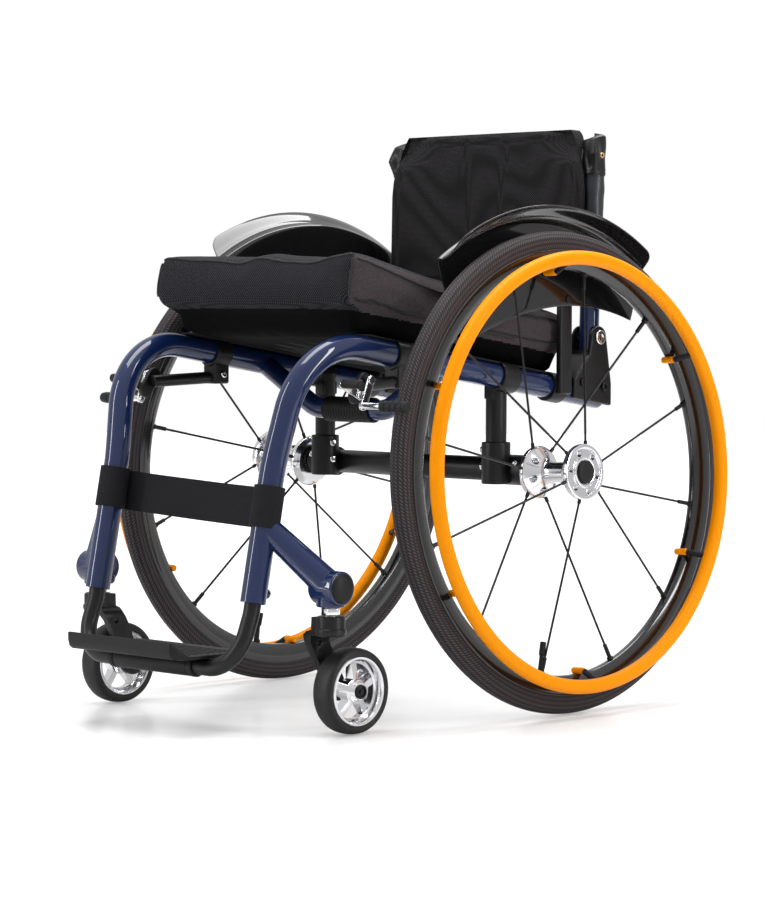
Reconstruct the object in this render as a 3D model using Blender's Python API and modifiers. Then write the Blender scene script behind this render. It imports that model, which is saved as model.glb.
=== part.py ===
"""Rigid wheelchair with cambered push-rim wheels, casters, scissor brakes and fold-down back.

Metres, +Z up, the front at -Y and the chair's left at +X. Sizes are written from a datum
on the floor below the rear axle, and an empty there carries the whole chair, so that the
origin lies under the middle of the chair.
"""

import math

import bmesh
import bpy
from mathutils import Matrix, Vector

# Fits and facets
GAP = 0.0003
ROUND_SIDES = 16
TUBE_SIDES = 12
SMALL_SIDES = 8
ARC_STEP = math.radians(15.0)

# Rear wheels
WHEEL_RADIUS = 0.295
WHEEL_HALF_TRACK = 0.243
CAMBER = math.radians(2.5)
WHEEL_STEPS = 48
TYRE_WIDTH = 0.025
TYRE_HEIGHT = 0.023
RIM_DEPTH = 0.024
RIM_WIDTH = 0.022
RIM_INNER_WIDTH = 0.010
RIM_WELL = 0.006
SPOKE_RADIUS = 0.0015
NIPPLE_RADIUS = 0.0027
NIPPLE_LENGTH = 0.016
SPOKE_PAIRS = 6
HANDRIM_RADIUS = 0.2605
HANDRIM_TUBE_RADIUS = 0.00875
HANDRIM_OFFSET = 0.0374
HANDRIM_TAB_RADIUS = 0.0035

# Rear hub and quick-release axle, measured along the axle from the rim's middle plane
HUB_FACE = 0.0368
HUB_FLANGE_RADIUS = 0.0345
HUB_FLANGE = 0.008
HUB_BOSS_RADIUS = 0.020
HUB_BARREL_RADIUS = 0.0115
HUB_INNER_FLANGE_RADIUS = 0.033
HUB_INNER_FLANGE = 0.039
HUB_BACK = 0.048
HUB_BACK_RADIUS = 0.028
AXLE_RADIUS = 0.006
BUTTON_RADIUS = 0.0145
BUTTON_THICKNESS = 0.009
BUTTON_PROUD = 0.004
BUTTON_TRAVEL = 0.0045
PLUNGER_RADIUS = 0.0028
PLUNGER_LENGTH = 0.020

# Side frame
FRAME_RADIUS = 0.015
FRAME_FOOT = (0.139, -0.419, 0.153)
FRAME_KINK = (0.139, -0.388, 0.310)
FRAME_CORNER = (0.160, -0.357, 0.4605)
FRAME_REAR = (0.1655, 0.150, 0.3836)
KINK_BEND = 0.250
CORNER_BEND = 0.093
FOOT_BOSS_RADIUS = 0.006

# Cross tube
CROSS_RADIUS = 0.0125
CROSS_Y = -0.124
CROSS_DROP = 0.057
CROSS_FLAT_HALF = 0.062
CROSS_BEND = 0.050
SLEEVE_WALL = 0.003
SLEEVE_HALF = 0.041

# Camber tube, its clamps and posts
CAMBER_TUBE_RADIUS = 0.015
CAMBER_TUBE_WALL = 0.002
CAMBER_TUBE_INSET = 0.0525
COLLAR_RADIUS = 0.019
COLLAR_ROOT = 0.002
POST_X = 0.152
POST_Y = -0.022
POST_RADIUS = 0.013
SOCKET_RADIUS = 0.018
SOCKET_RISE = 0.035
SOCKET_DROP = 0.017
SADDLE_RADIUS = 0.0183
SADDLE_LENGTH = 0.030
SPACER = 0.0022

# Casters
CASTER_RADIUS = 0.0505
CASTER_WIDTH = 0.030
CASTER_TYRE_HEIGHT = 0.0095
CASTER_STEPS = 24
CASTER_X = 0.208
CASTER_STEM_Y = -0.361
CASTER_TRAIL = 0.0333
CASTER_SPOKES = 5
CASTER_SPOKE_WIDTH = 0.009
CASTER_HUB_RADIUS = 0.011
CASTER_BOLT_RADIUS = 0.004
STEM_RADIUS = 0.008
STEM_NUT_RADIUS = 0.012
STEM_NUT = 0.005
HOUSING_RADIUS = 0.020
HOUSING_INNER_X = 0.190
HOUSING_OUTER_X = 0.2275
HOUSING_Z = 0.172
HOUSING_FOOT_Z = 0.150
HOUSING_FOOT_RADIUS = 0.017
STEM_TOP_Z = 0.186
BRACE_ROOT_Z = 0.243
BRACE_ROOT_RADIUS = 0.0142
BRACE_TIP_RADIUS = 0.018
CAP_RADIUS = 0.0175
CAP_SPIGOT_RADIUS = 0.0125
CAP_SPIGOT = 0.005
FORK_TOP_Z = 0.139
FORK_HEAD = 0.022
FORK_DEPTH = 0.080
FORK_HEAD_RADIUS = 0.017
FORK_ARM = 0.0105
FORK_ARM_BULGE = 0.0028
FORK_HALF_WIDTH = 0.0155
FORK_BOSS_RADIUS = 0.0135
FORK_HOLE_RADIUS = 0.004

# Footrest
FOOTREST_RADIUS = 0.010
FOOTREST_GRIP = 0.065
FOOTREST_SPARE = 0.003
FOOTREST_NECK = 0.013
FOOTREST_BAR_Y = -0.446
FOOTREST_BEND = 0.045
FOOTPLATE_FRONT_Y = -0.505
FOOTPLATE_REAR_Y = -0.390
FOOTPLATE_HALF_WIDTH = 0.098
FOOTPLATE_TOP_Z = 0.092
FOOTPLATE_THICKNESS = 0.004
FOOTPLATE_LIP = 0.017
FOOT_CLAMP_WALL = 0.002
FOOT_CLAMP_HALF = 0.065

# Calf strap
STRAP_WIDTH = 0.050
STRAP_THICKNESS = 0.003
STRAP_Z = 0.275
STRAP_SAG = 0.014

# Seat
SLING_FRONT_Y = -0.262
SLING_REAR_Y = 0.080
SLING_OVERHANG = 0.006
SLING_THICKNESS = 0.0035
SLING_NOTCH = 0.0105
CUSHION_HALF_WIDTH = 0.178
CUSHION_FRONT_Y = -0.311
CUSHION_KNEE_Y = -0.168
CUSHION_REAR_Y = 0.078
CUSHION_FRONT_HEIGHT = 0.0945
CUSHION_KNEE_HEIGHT = 0.078
CUSHION_REAR_HEIGHT = 0.074
CUSHION_EDGE = 0.014

# Side guards
GUARD_X = 0.190
GUARD_WALL = 0.0025
GUARD_CROWN_RISE = 0.030
GUARD_OUTER_X = 0.226
GUARD_ENDS = (
    (-38.0, 45.0),
    (-36.0, 43.0),
    (-33.5, 39.3),
    (-33.0, 38.5),
    (-31.5, 37.0),
    (-29.5, 35.5),
    (-28.0, 34.5),
)
GUARD_PANEL_DROP = 0.0985
GUARD_CREASE_DROP = 0.022
GUARD_EDGE_RISE = 0.00065
GUARD_EDGE_CURVE = 0.000018
GUARD_COLUMNS = 12
RECEIVER_Y = 0.066
RECEIVER_LENGTH = 0.024
RECEIVER_RADIUS = 0.0185
RECEIVER_TAB = 0.0085
RECEIVER_LAP = 0.0217

# Brakes
BRAKE_CLAMP_Y = -0.205
BRAKE_CLAMP_RADIUS = 0.0185
BRAKE_CLAMP_LENGTH = 0.026
BRAKE_BLOCK_DROP = 0.039
BRAKE_BLOCK_HALF = 0.012
CARRIER_RADIUS = 0.0075
CARRIER_TIP_X = 0.178
PIVOT_PLATE_X = 0.1835
PIVOT_PLATE = 0.006
PIVOT_RADIUS = 0.003
PIVOT_HEAD_RADIUS = 0.005
PIVOT_HEAD = 0.0012
LINK_THICKNESS = 0.004
LINK_HALF_WIDTH = 0.0055
LEVER_REACH = 0.0295
LEVER_REST = math.radians(28.0)
GRIP_RADIUS = 0.0055
GRIP_END_X = 0.222
SHOE_RADIUS = 0.007
SHOE_REST_GAP = 0.0099
SHOE_BEARING = math.radians(15.9)
SHOE_ROD_RADIUS = 0.004
SHOE_INNER_X = 0.229
SHOE_OUTER_X = 0.271
SHOE_PIVOT_BACK = 0.012
SHOE_PIVOT_UP = 0.030
LEVER_PIVOT_FORWARD = 0.012
LEVER_PIVOT_DOWN = 0.018

# Backrest, measured from its pivot along the cane
PIVOT_Y = 0.1356
PIVOT_Z = 0.459
BACK_LEAN = math.radians(1.76)
CANE_RADIUS = 0.0125
CANE_FOOT = 0.016
CANE_TOP = 0.250
STUD_RADIUS = 0.0028
STUD_REACH = 0.026
PIN_RADIUS = 0.005
PIN_HEAD_RADIUS = 0.009
PIN_HEAD = 0.003
BRACKET_HALF_WIDTH = 0.018
BRACKET_FRONT_Y = 0.088
BRACKET_REAR_Y = 0.160
BRACKET_EYE_RADIUS = 0.0145
BRACKET_SKIRT = 0.010
SLOT_CLEARANCE = 0.0008
SLOT_DROP = 0.0215
COVER_RADIUS = 0.015
COVER_FOOT = 0.066
HOOD_FOOT = 0.205
HOOD_TOP = 0.259
HOOD_FOLD = 0.026
HOOD_FOLD_HEIGHT = 0.233
HOOD_FOLD_THICKNESS = 0.014
BACK_FOOT = 0.071
BACK_TOP = 0.263
BACK_HALF_WIDTH = 0.180
BACK_TOP_HALF_WIDTH = 0.149
BACK_SHOULDER = 0.165
BACK_SHOULDER_HEIGHT = 0.213
BACK_THICKNESS = 0.012

# Colours: base colour, roughness, metallic
FINISHES = {
    "navy_paint": ((0.010, 0.035, 0.120), 0.22, 0.3),
    "black_satin": ((0.018, 0.018, 0.020), 0.45, 0.3),
    "black_plastic": ((0.020, 0.020, 0.022), 0.55, 0.0),
    "orange_coat": ((1.000, 0.240, 0.010), 0.35, 0.0),
    "polished_alloy": ((0.720, 0.720, 0.740), 0.22, 1.0),
    "chrome": ((0.850, 0.850, 0.860), 0.08, 1.0),
    "tyre_rubber": ((0.055, 0.053, 0.058), 0.80, 0.0),
    "carbon_gloss": ((0.014, 0.014, 0.015), 0.15, 0.2),
    "black_fabric": ((0.030, 0.030, 0.032), 0.85, 0.0),
    "black_webbing": ((0.022, 0.022, 0.024), 0.75, 0.0),
}

SIDES = (("L", 1.0), ("R", -1.0))
WHEEL_Z = WHEEL_RADIUS * math.cos(CAMBER)
CAMBER_TUBE_HALF = WHEEL_HALF_TRACK - CAMBER_TUBE_INSET
AXLE_Y = -(FOOTPLATE_FRONT_Y + WHEEL_RADIUS) / 2.0
RIM_OUTER_RADIUS = WHEEL_RADIUS - TYRE_HEIGHT
RIM_INNER_RADIUS = RIM_OUTER_RADIUS - RIM_DEPTH
RIM_FLAT_RADIUS = RIM_INNER_RADIUS * math.cos(math.pi / WHEEL_STEPS)
CASTER_AXLE_Y = CASTER_STEM_Y + CASTER_TRAIL
FOOTREST_BAR_Z = FOOTPLATE_TOP_Z - FOOTPLATE_THICKNESS - FOOTREST_RADIUS - 0.001
LEG_AXIS = (Vector(FRAME_KINK) - Vector(FRAME_FOOT)).normalized()
RAIL_AXIS = (Vector(FRAME_REAR) - Vector(FRAME_CORNER)).normalized()
RAIL_PITCH = math.atan2(FRAME_CORNER[2] - FRAME_REAR[2], FRAME_REAR[1] - FRAME_CORNER[1])

# Local x, y, z of an outline drawn in the named plane, as columns of a rotation
PLANE_YZ = Matrix(((0, 0, 1, 0), (1, 0, 0, 0), (0, 1, 0, 0), (0, 0, 0, 1)))
PLANE_XZ = Matrix(((1, 0, 0, 0), (0, 0, -1, 0), (0, 1, 0, 0), (0, 0, 0, 1)))
LEG_FRAME = Matrix.Rotation(-math.atan2(LEG_AXIS.y, LEG_AXIS.z), 4, "X")


# Scene and materials

def clear_scene():
    for obj in list(bpy.data.objects):
        bpy.data.objects.remove(obj, do_unlink=True)


def new_collection(name):
    collection = bpy.data.collections.new(name)
    bpy.context.scene.collection.children.link(collection)
    return collection


def make_material(name):
    colour, roughness, metallic = FINISHES[name]
    material = bpy.data.materials.new(name)
    material.use_nodes = True
    shader = material.node_tree.nodes["Principled BSDF"]
    shader.inputs["Base Color"].default_value = (*colour, 1.0)
    shader.inputs["Roughness"].default_value = roughness
    shader.inputs["Metallic"].default_value = metallic
    return material


def make_empty(name, location, rotation, parent):
    empty = bpy.data.objects.new(name, None)
    empty.location = location
    empty.rotation_euler = rotation.to_euler()
    empty.empty_display_size = 0.03
    empty.parent = parent
    CHAIR.objects.link(empty)
    return empty


clear_scene()
CHAIR = new_collection("rigid_wheelchair")
TOOLS = new_collection("cutters")
MATERIALS = {name: make_material(name) for name in FINISHES}
DATUM = make_empty("chair_datum", (0.0, AXLE_Y, 0.0), Matrix.Identity(3), None)


# Shapes: each call gives an object that stands in the datum's frame

def add(name, mesh):
    """Link a mesh as an object below the datum."""
    mesh.shade_smooth()
    mesh.set_sharp_from_angle(angle=math.radians(35.0))
    obj = bpy.data.objects.new(name, mesh)
    obj.parent = DATUM
    CHAIR.objects.link(obj)
    return obj


def mesh_from(bm, name):
    bmesh.ops.recalc_face_normals(bm, faces=bm.faces)
    mesh = bpy.data.meshes.new(name)
    bm.to_mesh(mesh)
    bm.free()
    return mesh


def curve_to_object(name, curve, matrix):
    """Turn a curve into a welded mesh object and drop the curve."""
    guide = bpy.data.objects.new(name + "_guide", curve)
    TOOLS.objects.link(guide)
    graph = bpy.context.evaluated_depsgraph_get()
    mesh = bpy.data.meshes.new_from_object(guide.evaluated_get(graph))
    bm = bmesh.new()
    bm.from_mesh(mesh)
    bmesh.ops.remove_doubles(bm, verts=bm.verts, dist=0.00001)
    bmesh.ops.transform(bm, matrix=matrix, verts=bm.verts)
    bpy.data.objects.remove(guide, do_unlink=True)
    bpy.data.meshes.remove(mesh)
    return add(name, mesh_from(bm, name))


def tubes(name, paths, radius, sides=TUBE_SIDES, swell=None):
    """Round bars along open paths; swell scales the radius point by point."""
    curve = bpy.data.curves.new(name, "CURVE")
    curve.dimensions = "3D"
    curve.bevel_depth = radius
    curve.bevel_resolution = (sides - 4) // 2
    curve.use_fill_caps = True
    for path in paths:
        spline = curve.splines.new("POLY")
        spline.points.add(len(path) - 1)
        for index, place in enumerate(path):
            spline.points[index].co = (*place, 1.0)
            spline.points[index].radius = swell[index] if swell else 1.0
    return curve_to_object(name, curve, Matrix.Identity(4))


def slab(name, outlines, thickness, matrix):
    """Flat outlines, filled and thickened evenly to both sides of their plane."""
    curve = bpy.data.curves.new(name, "CURVE")
    curve.dimensions = "2D"
    curve.fill_mode = "BOTH"
    curve.extrude = thickness / 2.0
    for outline in outlines:
        spline = curve.splines.new("POLY")
        spline.points.add(len(outline) - 1)
        for point, place in zip(spline.points, outline):
            point.co = (place[0], place[1], 0.0, 1.0)
        spline.use_cyclic_u = True
    return curve_to_object(name, curve, matrix)


def rod(name, start, end, radius, sides=ROUND_SIDES, end_radius=None):
    """A cylinder, or a cone, from start to end."""
    start = Vector(start)
    end = Vector(end)
    bm = bmesh.new()
    bmesh.ops.create_cone(
        bm,
        cap_ends=True,
        segments=sides,
        radius1=radius,
        radius2=radius if end_radius is None else end_radius,
        depth=(end - start).length,
    )
    turn = (end - start).to_track_quat("Z", "Y").to_matrix().to_4x4()
    bmesh.ops.transform(bm, matrix=Matrix.Translation((start + end) / 2.0) @ turn, verts=bm.verts)
    return add(name, mesh_from(bm, name))


def box(name, low, high, matrix=None):
    """A box between two corners, turned by the matrix if one is given."""
    low = Vector(low)
    high = Vector(high)
    bm = bmesh.new()
    bmesh.ops.create_cube(bm, size=1.0)
    size = Matrix.Diagonal((*(high - low), 1.0))
    bmesh.ops.transform(bm, matrix=Matrix.Translation((low + high) / 2.0) @ size, verts=bm.verts)
    if matrix is not None:
        bmesh.ops.transform(bm, matrix=matrix, verts=bm.verts)
    return add(name, mesh_from(bm, name))


def turned(name, profile, centre, axis, steps, closed):
    """A turned piece: (radius, height) points, down the outer side first."""
    mesh = bpy.data.meshes.new(name)
    count = len(profile)
    edges = [(index, index + 1) for index in range(count - 1)]
    if closed:
        edges.append((count - 1, 0))
    mesh.from_pydata([(radius, 0.0, height) for radius, height in profile], edges, [])
    obj = add(name, mesh)
    screw = obj.modifiers.new("turn", "SCREW")
    screw.steps = steps
    screw.render_steps = steps
    screw.use_merge_vertices = True
    screw.merge_threshold = 0.00001
    obj.location = centre
    obj.rotation_euler = Vector(axis).to_track_quat("Z", "Y").to_euler()
    return obj


def boolean(obj, tool, operation):
    """Apply a tool object to obj and put the tool with the cutters."""
    change = obj.modifiers.new(operation.lower(), "BOOLEAN")
    change.operation = operation
    change.solver = "EXACT"
    change.object = tool
    CHAIR.objects.unlink(tool)
    TOOLS.objects.link(tool)
    tool.name = obj.name + "_tool"
    tool.hide_render = True
    tool.display_type = "WIRE"
    return obj


def cut(obj, tool):
    return boolean(obj, tool, "DIFFERENCE")


def join(obj, tool):
    return boolean(obj, tool, "UNION")


def bevel(obj, width, segments):
    edge = obj.modifiers.new("bevel", "BEVEL")
    edge.width = width
    edge.segments = segments
    edge.limit_method = "ANGLE"
    edge.angle_limit = math.radians(40.0)
    return obj


def finish(obj, material, pivot=None):
    """Give a finished piece its material, and its pivot if it moves."""
    obj.data.materials.clear()
    obj.data.materials.append(MATERIALS[material])
    if pivot is not None:
        local = Matrix.LocRotScale(pivot.location, pivot.rotation_euler, None)
        obj.parent = pivot
        obj.matrix_parent_inverse = local.inverted()
    return obj


# Geometry worked out from the sizes

def bore(radius, sides=ROUND_SIDES):
    """The radius of a faceted hole whose flats clear a round bar of this radius."""
    return (radius + GAP) / math.cos(math.pi / sides)


def on_side(point, side):
    return Vector((side * point[0], point[1], point[2]))


def fillet(points, bends):
    """The path with each inner corner rounded to its bend radius."""
    points = [Vector(point) for point in points]
    path = [points[0]]
    for before, corner, after, bend in zip(points, points[1:], points[2:], bends):
        to_before = (before - corner).normalized()
        to_after = (after - corner).normalized()
        half = to_before.angle(to_after) / 2.0
        sweep = math.pi - 2.0 * half
        middle = corner + (to_before + to_after).normalized() * bend / math.sin(half)
        first = corner + to_before * bend / math.tan(half) - middle
        last = corner + to_after * bend / math.tan(half) - middle
        count = max(2, math.ceil(sweep / ARC_STEP))
        for step in range(count + 1):
            angle = sweep * step / count
            spoke = first * math.sin(sweep - angle) + last * math.sin(angle)
            path.append(middle + spoke / math.sin(sweep))
    path.append(points[-1])
    return path


def arc(centre, radius, start, end, count):
    """Points on an arc, with the angles in degrees from the first axis of the plane."""
    steps = [math.radians(start + (end - start) * index / count) for index in range(count + 1)]
    return [(centre[0] + radius * math.cos(a), centre[1] + radius * math.sin(a)) for a in steps]


def capsule(first, last, radius):
    """The outline of a link with round ends."""
    heading = math.degrees(math.atan2(last[1] - first[1], last[0] - first[0]))
    near = arc(first, radius, heading + 90.0, heading + 270.0, 4)
    return near + arc(last, radius, heading - 90.0, heading + 90.0, 4)


def leg_point(side, height):
    """The point of the front leg's axis at a height."""
    foot = Vector(FRAME_FOOT)
    return on_side(foot + LEG_AXIS * (height - foot.z) / LEG_AXIS.z, side)


def rail_point(side, y):
    """The point of the seat rail's axis at a place along the chair."""
    corner = Vector(FRAME_CORNER)
    return on_side(corner + RAIL_AXIS * (y - corner.y) / RAIL_AXIS.y, side)


def rail_rod(name, side, y, length, radius, sides=ROUND_SIDES):
    """A cylinder on the rail's axis, centred at y."""
    reach = on_side(RAIL_AXIS, side) * length / 2.0
    middle = rail_point(side, y)
    return rod(name, middle - reach, middle + reach, radius, sides)


def rail_bore(name, side, y, length):
    return rail_rod(name, side, y, length, bore(FRAME_RADIUS))


def seat_frame():
    """The seat's own frame: y along the rails, z square to them, rails at z = 0."""
    middle = Vector((0.0, 0.0, rail_point(1.0, 0.0).z))
    return Matrix.Translation(middle) @ Matrix.Rotation(-RAIL_PITCH, 4, "X")


def wheel_centre(side):
    return Vector((side * WHEEL_HALF_TRACK, 0.0, WHEEL_Z))


def wheel_axis(side):
    return Vector((side * math.cos(CAMBER), 0.0, math.sin(CAMBER)))


def wheel_point(side, radius, bearing, across):
    """A point on the cambered wheel: bearing in degrees from the front, upwards."""
    forward = Vector((0.0, -1.0, 0.0))
    upward = Vector((-side * math.sin(CAMBER), 0.0, math.cos(CAMBER)))
    angle = math.radians(bearing)
    spoke = forward * math.cos(angle) + upward * math.sin(angle)
    return wheel_centre(side) + spoke * radius + wheel_axis(side) * across


def axle_pivot(name, side):
    turn = wheel_axis(side).to_track_quat("Z", "Y").to_matrix()
    return make_empty(name, wheel_centre(side), turn, DATUM)


# Frame

def frame_path(side):
    """The middle line of a side tube, from its foot to its rear end."""
    path = [on_side(p, side) for p in (FRAME_FOOT, FRAME_KINK, FRAME_CORNER, FRAME_REAR)]
    return fillet(path, (KINK_BEND, CORNER_BEND))


def make_frame_side(tag, side):
    frame = tubes("frame_side_" + tag, [frame_path(side)], FRAME_RADIUS)
    foot = on_side(FRAME_FOOT, side)
    depth = FOOTREST_GRIP + FOOTREST_SPARE
    boss_root = foot + LEG_AXIS * 0.010
    boss_tip = boss_root + Vector((0.0, FRAME_RADIUS + 0.006, 0.0))
    join(frame, rod("boss", boss_root, boss_tip, FOOT_BOSS_RADIUS, SMALL_SIDES))
    cut(frame, rod("socket", foot - LEG_AXIS * 0.01, foot + LEG_AXIS * depth, bore(FOOTREST_RADIUS)))
    return finish(frame, "navy_paint")


def make_cross_tube():
    left = rail_point(1.0, CROSS_Y)
    low = left.z - CROSS_DROP
    path = [
        on_side(left, -1.0),
        (-CROSS_FLAT_HALF, CROSS_Y, low),
        (CROSS_FLAT_HALF, CROSS_Y, low),
        left,
    ]
    tube = tubes("cross_tube", [fillet(path, (CROSS_BEND, CROSS_BEND))], CROSS_RADIUS)
    for tag, side in SIDES:
        cut(tube, rail_bore("cope_" + tag, side, CROSS_Y, 0.080))
    finish(tube, "navy_paint")
    inner = bore(CROSS_RADIUS)
    outer = CROSS_RADIUS + GAP + SLEEVE_WALL
    ring = [(outer, SLEEVE_HALF), (outer, -SLEEVE_HALF), (inner, -SLEEVE_HALF), (inner, SLEEVE_HALF)]
    sleeve = turned("cross_tube_sleeve", ring, (0.0, CROSS_Y, low), (1, 0, 0), ROUND_SIDES, True)
    return finish(sleeve, "black_plastic")


def make_axle_post(tag, side):
    """The saddle on the rail with the post below it."""
    foot = (side * POST_X, POST_Y, WHEEL_Z + SOCKET_DROP + GAP)
    top = (side * POST_X, POST_Y, rail_point(side, POST_Y).z)
    post = rod("axle_post_" + tag, foot, top, POST_RADIUS)
    join(post, rail_rod("saddle", side, POST_Y, SADDLE_LENGTH, SADDLE_RADIUS))
    cut(post, rail_bore("rail", side, POST_Y, SADDLE_LENGTH * 3.0))
    return finish(post, "black_satin")


def make_axle_clamp(tag, side):
    """The socket that takes the post, with the collar round the camber tube."""
    x = side * POST_X
    end = side * (CAMBER_TUBE_HALF - 0.0005)
    root = x - side * COLLAR_ROOT
    low = (x, POST_Y, WHEEL_Z - SOCKET_DROP)
    clamp = rod("axle_clamp_" + tag, low, (x, POST_Y, WHEEL_Z + SOCKET_RISE), SOCKET_RADIUS)
    join(clamp, rod("collar", (root, 0.0, WHEEL_Z), (end, 0.0, WHEEL_Z), COLLAR_RADIUS))
    top = (x, POST_Y, WHEEL_Z + SOCKET_RISE + 0.01)
    cut(clamp, rod("post", (x, POST_Y, WHEEL_Z + SOCKET_DROP), top, bore(POST_RADIUS)))
    far = (end + side * 0.01, 0.0, WHEEL_Z)
    cut(clamp, rod("tube", (root - side * 0.03, 0.0, WHEEL_Z), far, bore(CAMBER_TUBE_RADIUS)))
    return finish(clamp, "black_satin")


def make_camber_tube():
    inner = CAMBER_TUBE_RADIUS - CAMBER_TUBE_WALL
    ring = [
        (CAMBER_TUBE_RADIUS, CAMBER_TUBE_HALF),
        (CAMBER_TUBE_RADIUS, -CAMBER_TUBE_HALF),
        (inner, -CAMBER_TUBE_HALF),
        (inner, CAMBER_TUBE_HALF),
    ]
    tube = turned("camber_tube", ring, (0.0, 0.0, WHEEL_Z), (1, 0, 0), ROUND_SIDES, True)
    return finish(tube, "black_satin")


def make_axle_pin(tag, side):
    """The camber plug in the tube's end, with the shaft that the wheel turns on."""
    inner = CAMBER_TUBE_RADIUS - CAMBER_TUBE_WALL
    plug_radius = inner * math.cos(math.pi / ROUND_SIDES) - GAP
    end = side * (CAMBER_TUBE_HALF + GAP)
    pin = rod("axle_pin_" + tag, (end - side * 0.045, 0.0, WHEEL_Z), (end, 0.0, WHEEL_Z), plug_radius)
    face = (end + side * SPACER, 0.0, WHEEL_Z)
    join(pin, rod("spacer", (end, 0.0, WHEEL_Z), face, CAMBER_TUBE_RADIUS))
    tip = button_seat() - BUTTON_TRAVEL - GAP
    root = -WHEEL_HALF_TRACK + CAMBER_TUBE_HALF - 0.020
    shaft_root = wheel_point(side, 0.0, 0.0, root)
    shaft_tip = wheel_point(side, 0.0, 0.0, tip)
    join(pin, rod("shaft", shaft_root, shaft_tip, AXLE_RADIUS))
    floor = wheel_point(side, 0.0, 0.0, button_seat() - PLUNGER_LENGTH - BUTTON_TRAVEL - GAP)
    mouth = wheel_point(side, 0.0, 0.0, tip + 0.004)
    cut(pin, rod("plunger", floor, mouth, bore(PLUNGER_RADIUS)))
    return finish(pin, "polished_alloy")


# Rear wheels

def button_seat():
    """Where the back of the released button stands on the axle."""
    return HUB_FACE + BUTTON_PROUD - BUTTON_THICKNESS


def make_rear_wheel(tag, side):
    centre = wheel_centre(side)
    axis = wheel_axis(side)
    pivot = axle_pivot("rear_wheel_pivot_" + tag, side)
    half_rim = RIM_WIDTH / 2.0
    well = RIM_OUTER_RADIUS - RIM_WELL

    floor = half_rim - 0.004
    foot = floor - GAP
    half_tyre = TYRE_WIDTH / 2.0
    belly = WHEEL_RADIUS - half_tyre
    crown = half_tyre * math.sqrt(0.5)
    section = [
        (WHEEL_RADIUS, 0.0),
        (belly + crown, -crown),
        (belly, -half_tyre),
        (well + GAP, -foot),
        (well + GAP, foot),
        (belly, half_tyre),
        (belly + crown, crown),
    ]
    tyre = turned("rear_tyre_" + tag, section, centre, axis, WHEEL_STEPS, True)
    finish(tyre, "tyre_rubber", pivot)

    wall = [
        (RIM_OUTER_RADIUS, -half_rim),
        (RIM_OUTER_RADIUS - RIM_DEPTH * 0.42, -half_rim),
        (RIM_INNER_RADIUS, -RIM_INNER_WIDTH / 2.0),
        (RIM_INNER_RADIUS, RIM_INNER_WIDTH / 2.0),
        (RIM_OUTER_RADIUS - RIM_DEPTH * 0.42, half_rim),
        (RIM_OUTER_RADIUS, half_rim),
        (well, floor),
        (well, -floor),
    ]
    rim = turned("rear_rim_" + tag, wall, centre, axis, WHEEL_STEPS, True)
    finish(rim, "black_satin", pivot)

    make_rear_hub(tag, side, pivot)
    make_handrim(tag, side, pivot)


def make_rear_hub(tag, side, pivot):
    pocket = bore(BUTTON_RADIUS)
    floor = button_seat() - BUTTON_TRAVEL - GAP * 2.0
    shaft = bore(AXLE_RADIUS)
    flange_back = HUB_FACE - HUB_FLANGE
    profile = [
        (HUB_FLANGE_RADIUS, HUB_FACE),
        (HUB_FLANGE_RADIUS, flange_back),
        (HUB_BOSS_RADIUS, flange_back),
        (HUB_BOSS_RADIUS, floor - 0.005),
        (HUB_BARREL_RADIUS, floor - 0.010),
        (HUB_BARREL_RADIUS, 0.009 - HUB_INNER_FLANGE),
        (HUB_INNER_FLANGE_RADIUS, 0.003 - HUB_INNER_FLANGE),
        (HUB_INNER_FLANGE_RADIUS, -0.003 - HUB_INNER_FLANGE),
        (HUB_BACK_RADIUS, -HUB_BACK),
        (shaft, -HUB_BACK),
        (shaft, floor),
        (pocket, floor),
        (pocket, HUB_FACE),
    ]
    hub = turned("rear_hub_" + tag, profile, wheel_centre(side), wheel_axis(side), ROUND_SIDES, True)
    join(hub, make_spokes(side))
    return finish(hub, "polished_alloy", pivot)


def make_spokes(side):
    """Twelve straight spokes with their nipples, in turn from the outer and inner flange."""
    facet = 180.0 / WHEEL_STEPS
    pitch = 360.0 / SPOKE_PAIRS
    paths = []
    for index in range(2 * SPOKE_PAIRS):
        bearing = 3.0 * facet + index * pitch / 2.0
        across = HUB_FACE - HUB_FLANGE / 2.0 if index % 2 else -HUB_INNER_FLANGE
        root_radius = HUB_BACK_RADIUS
        tilt = math.atan2(abs(across), RIM_INNER_RADIUS - root_radius)
        tip_radius = RIM_FLAT_RADIUS - GAP - NIPPLE_RADIUS * math.sin(tilt)
        root = wheel_point(side, root_radius, bearing, across)
        tip = wheel_point(side, tip_radius, bearing, 0.0)
        along = (tip - root).normalized()
        neck = tip - along * NIPPLE_LENGTH
        paths.append([root, neck, neck + along * NIPPLE_RADIUS, tip])
    thick = NIPPLE_RADIUS / SPOKE_RADIUS
    return tubes("spokes", paths, SPOKE_RADIUS, 4, (1.0, 1.0, thick, thick))


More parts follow.
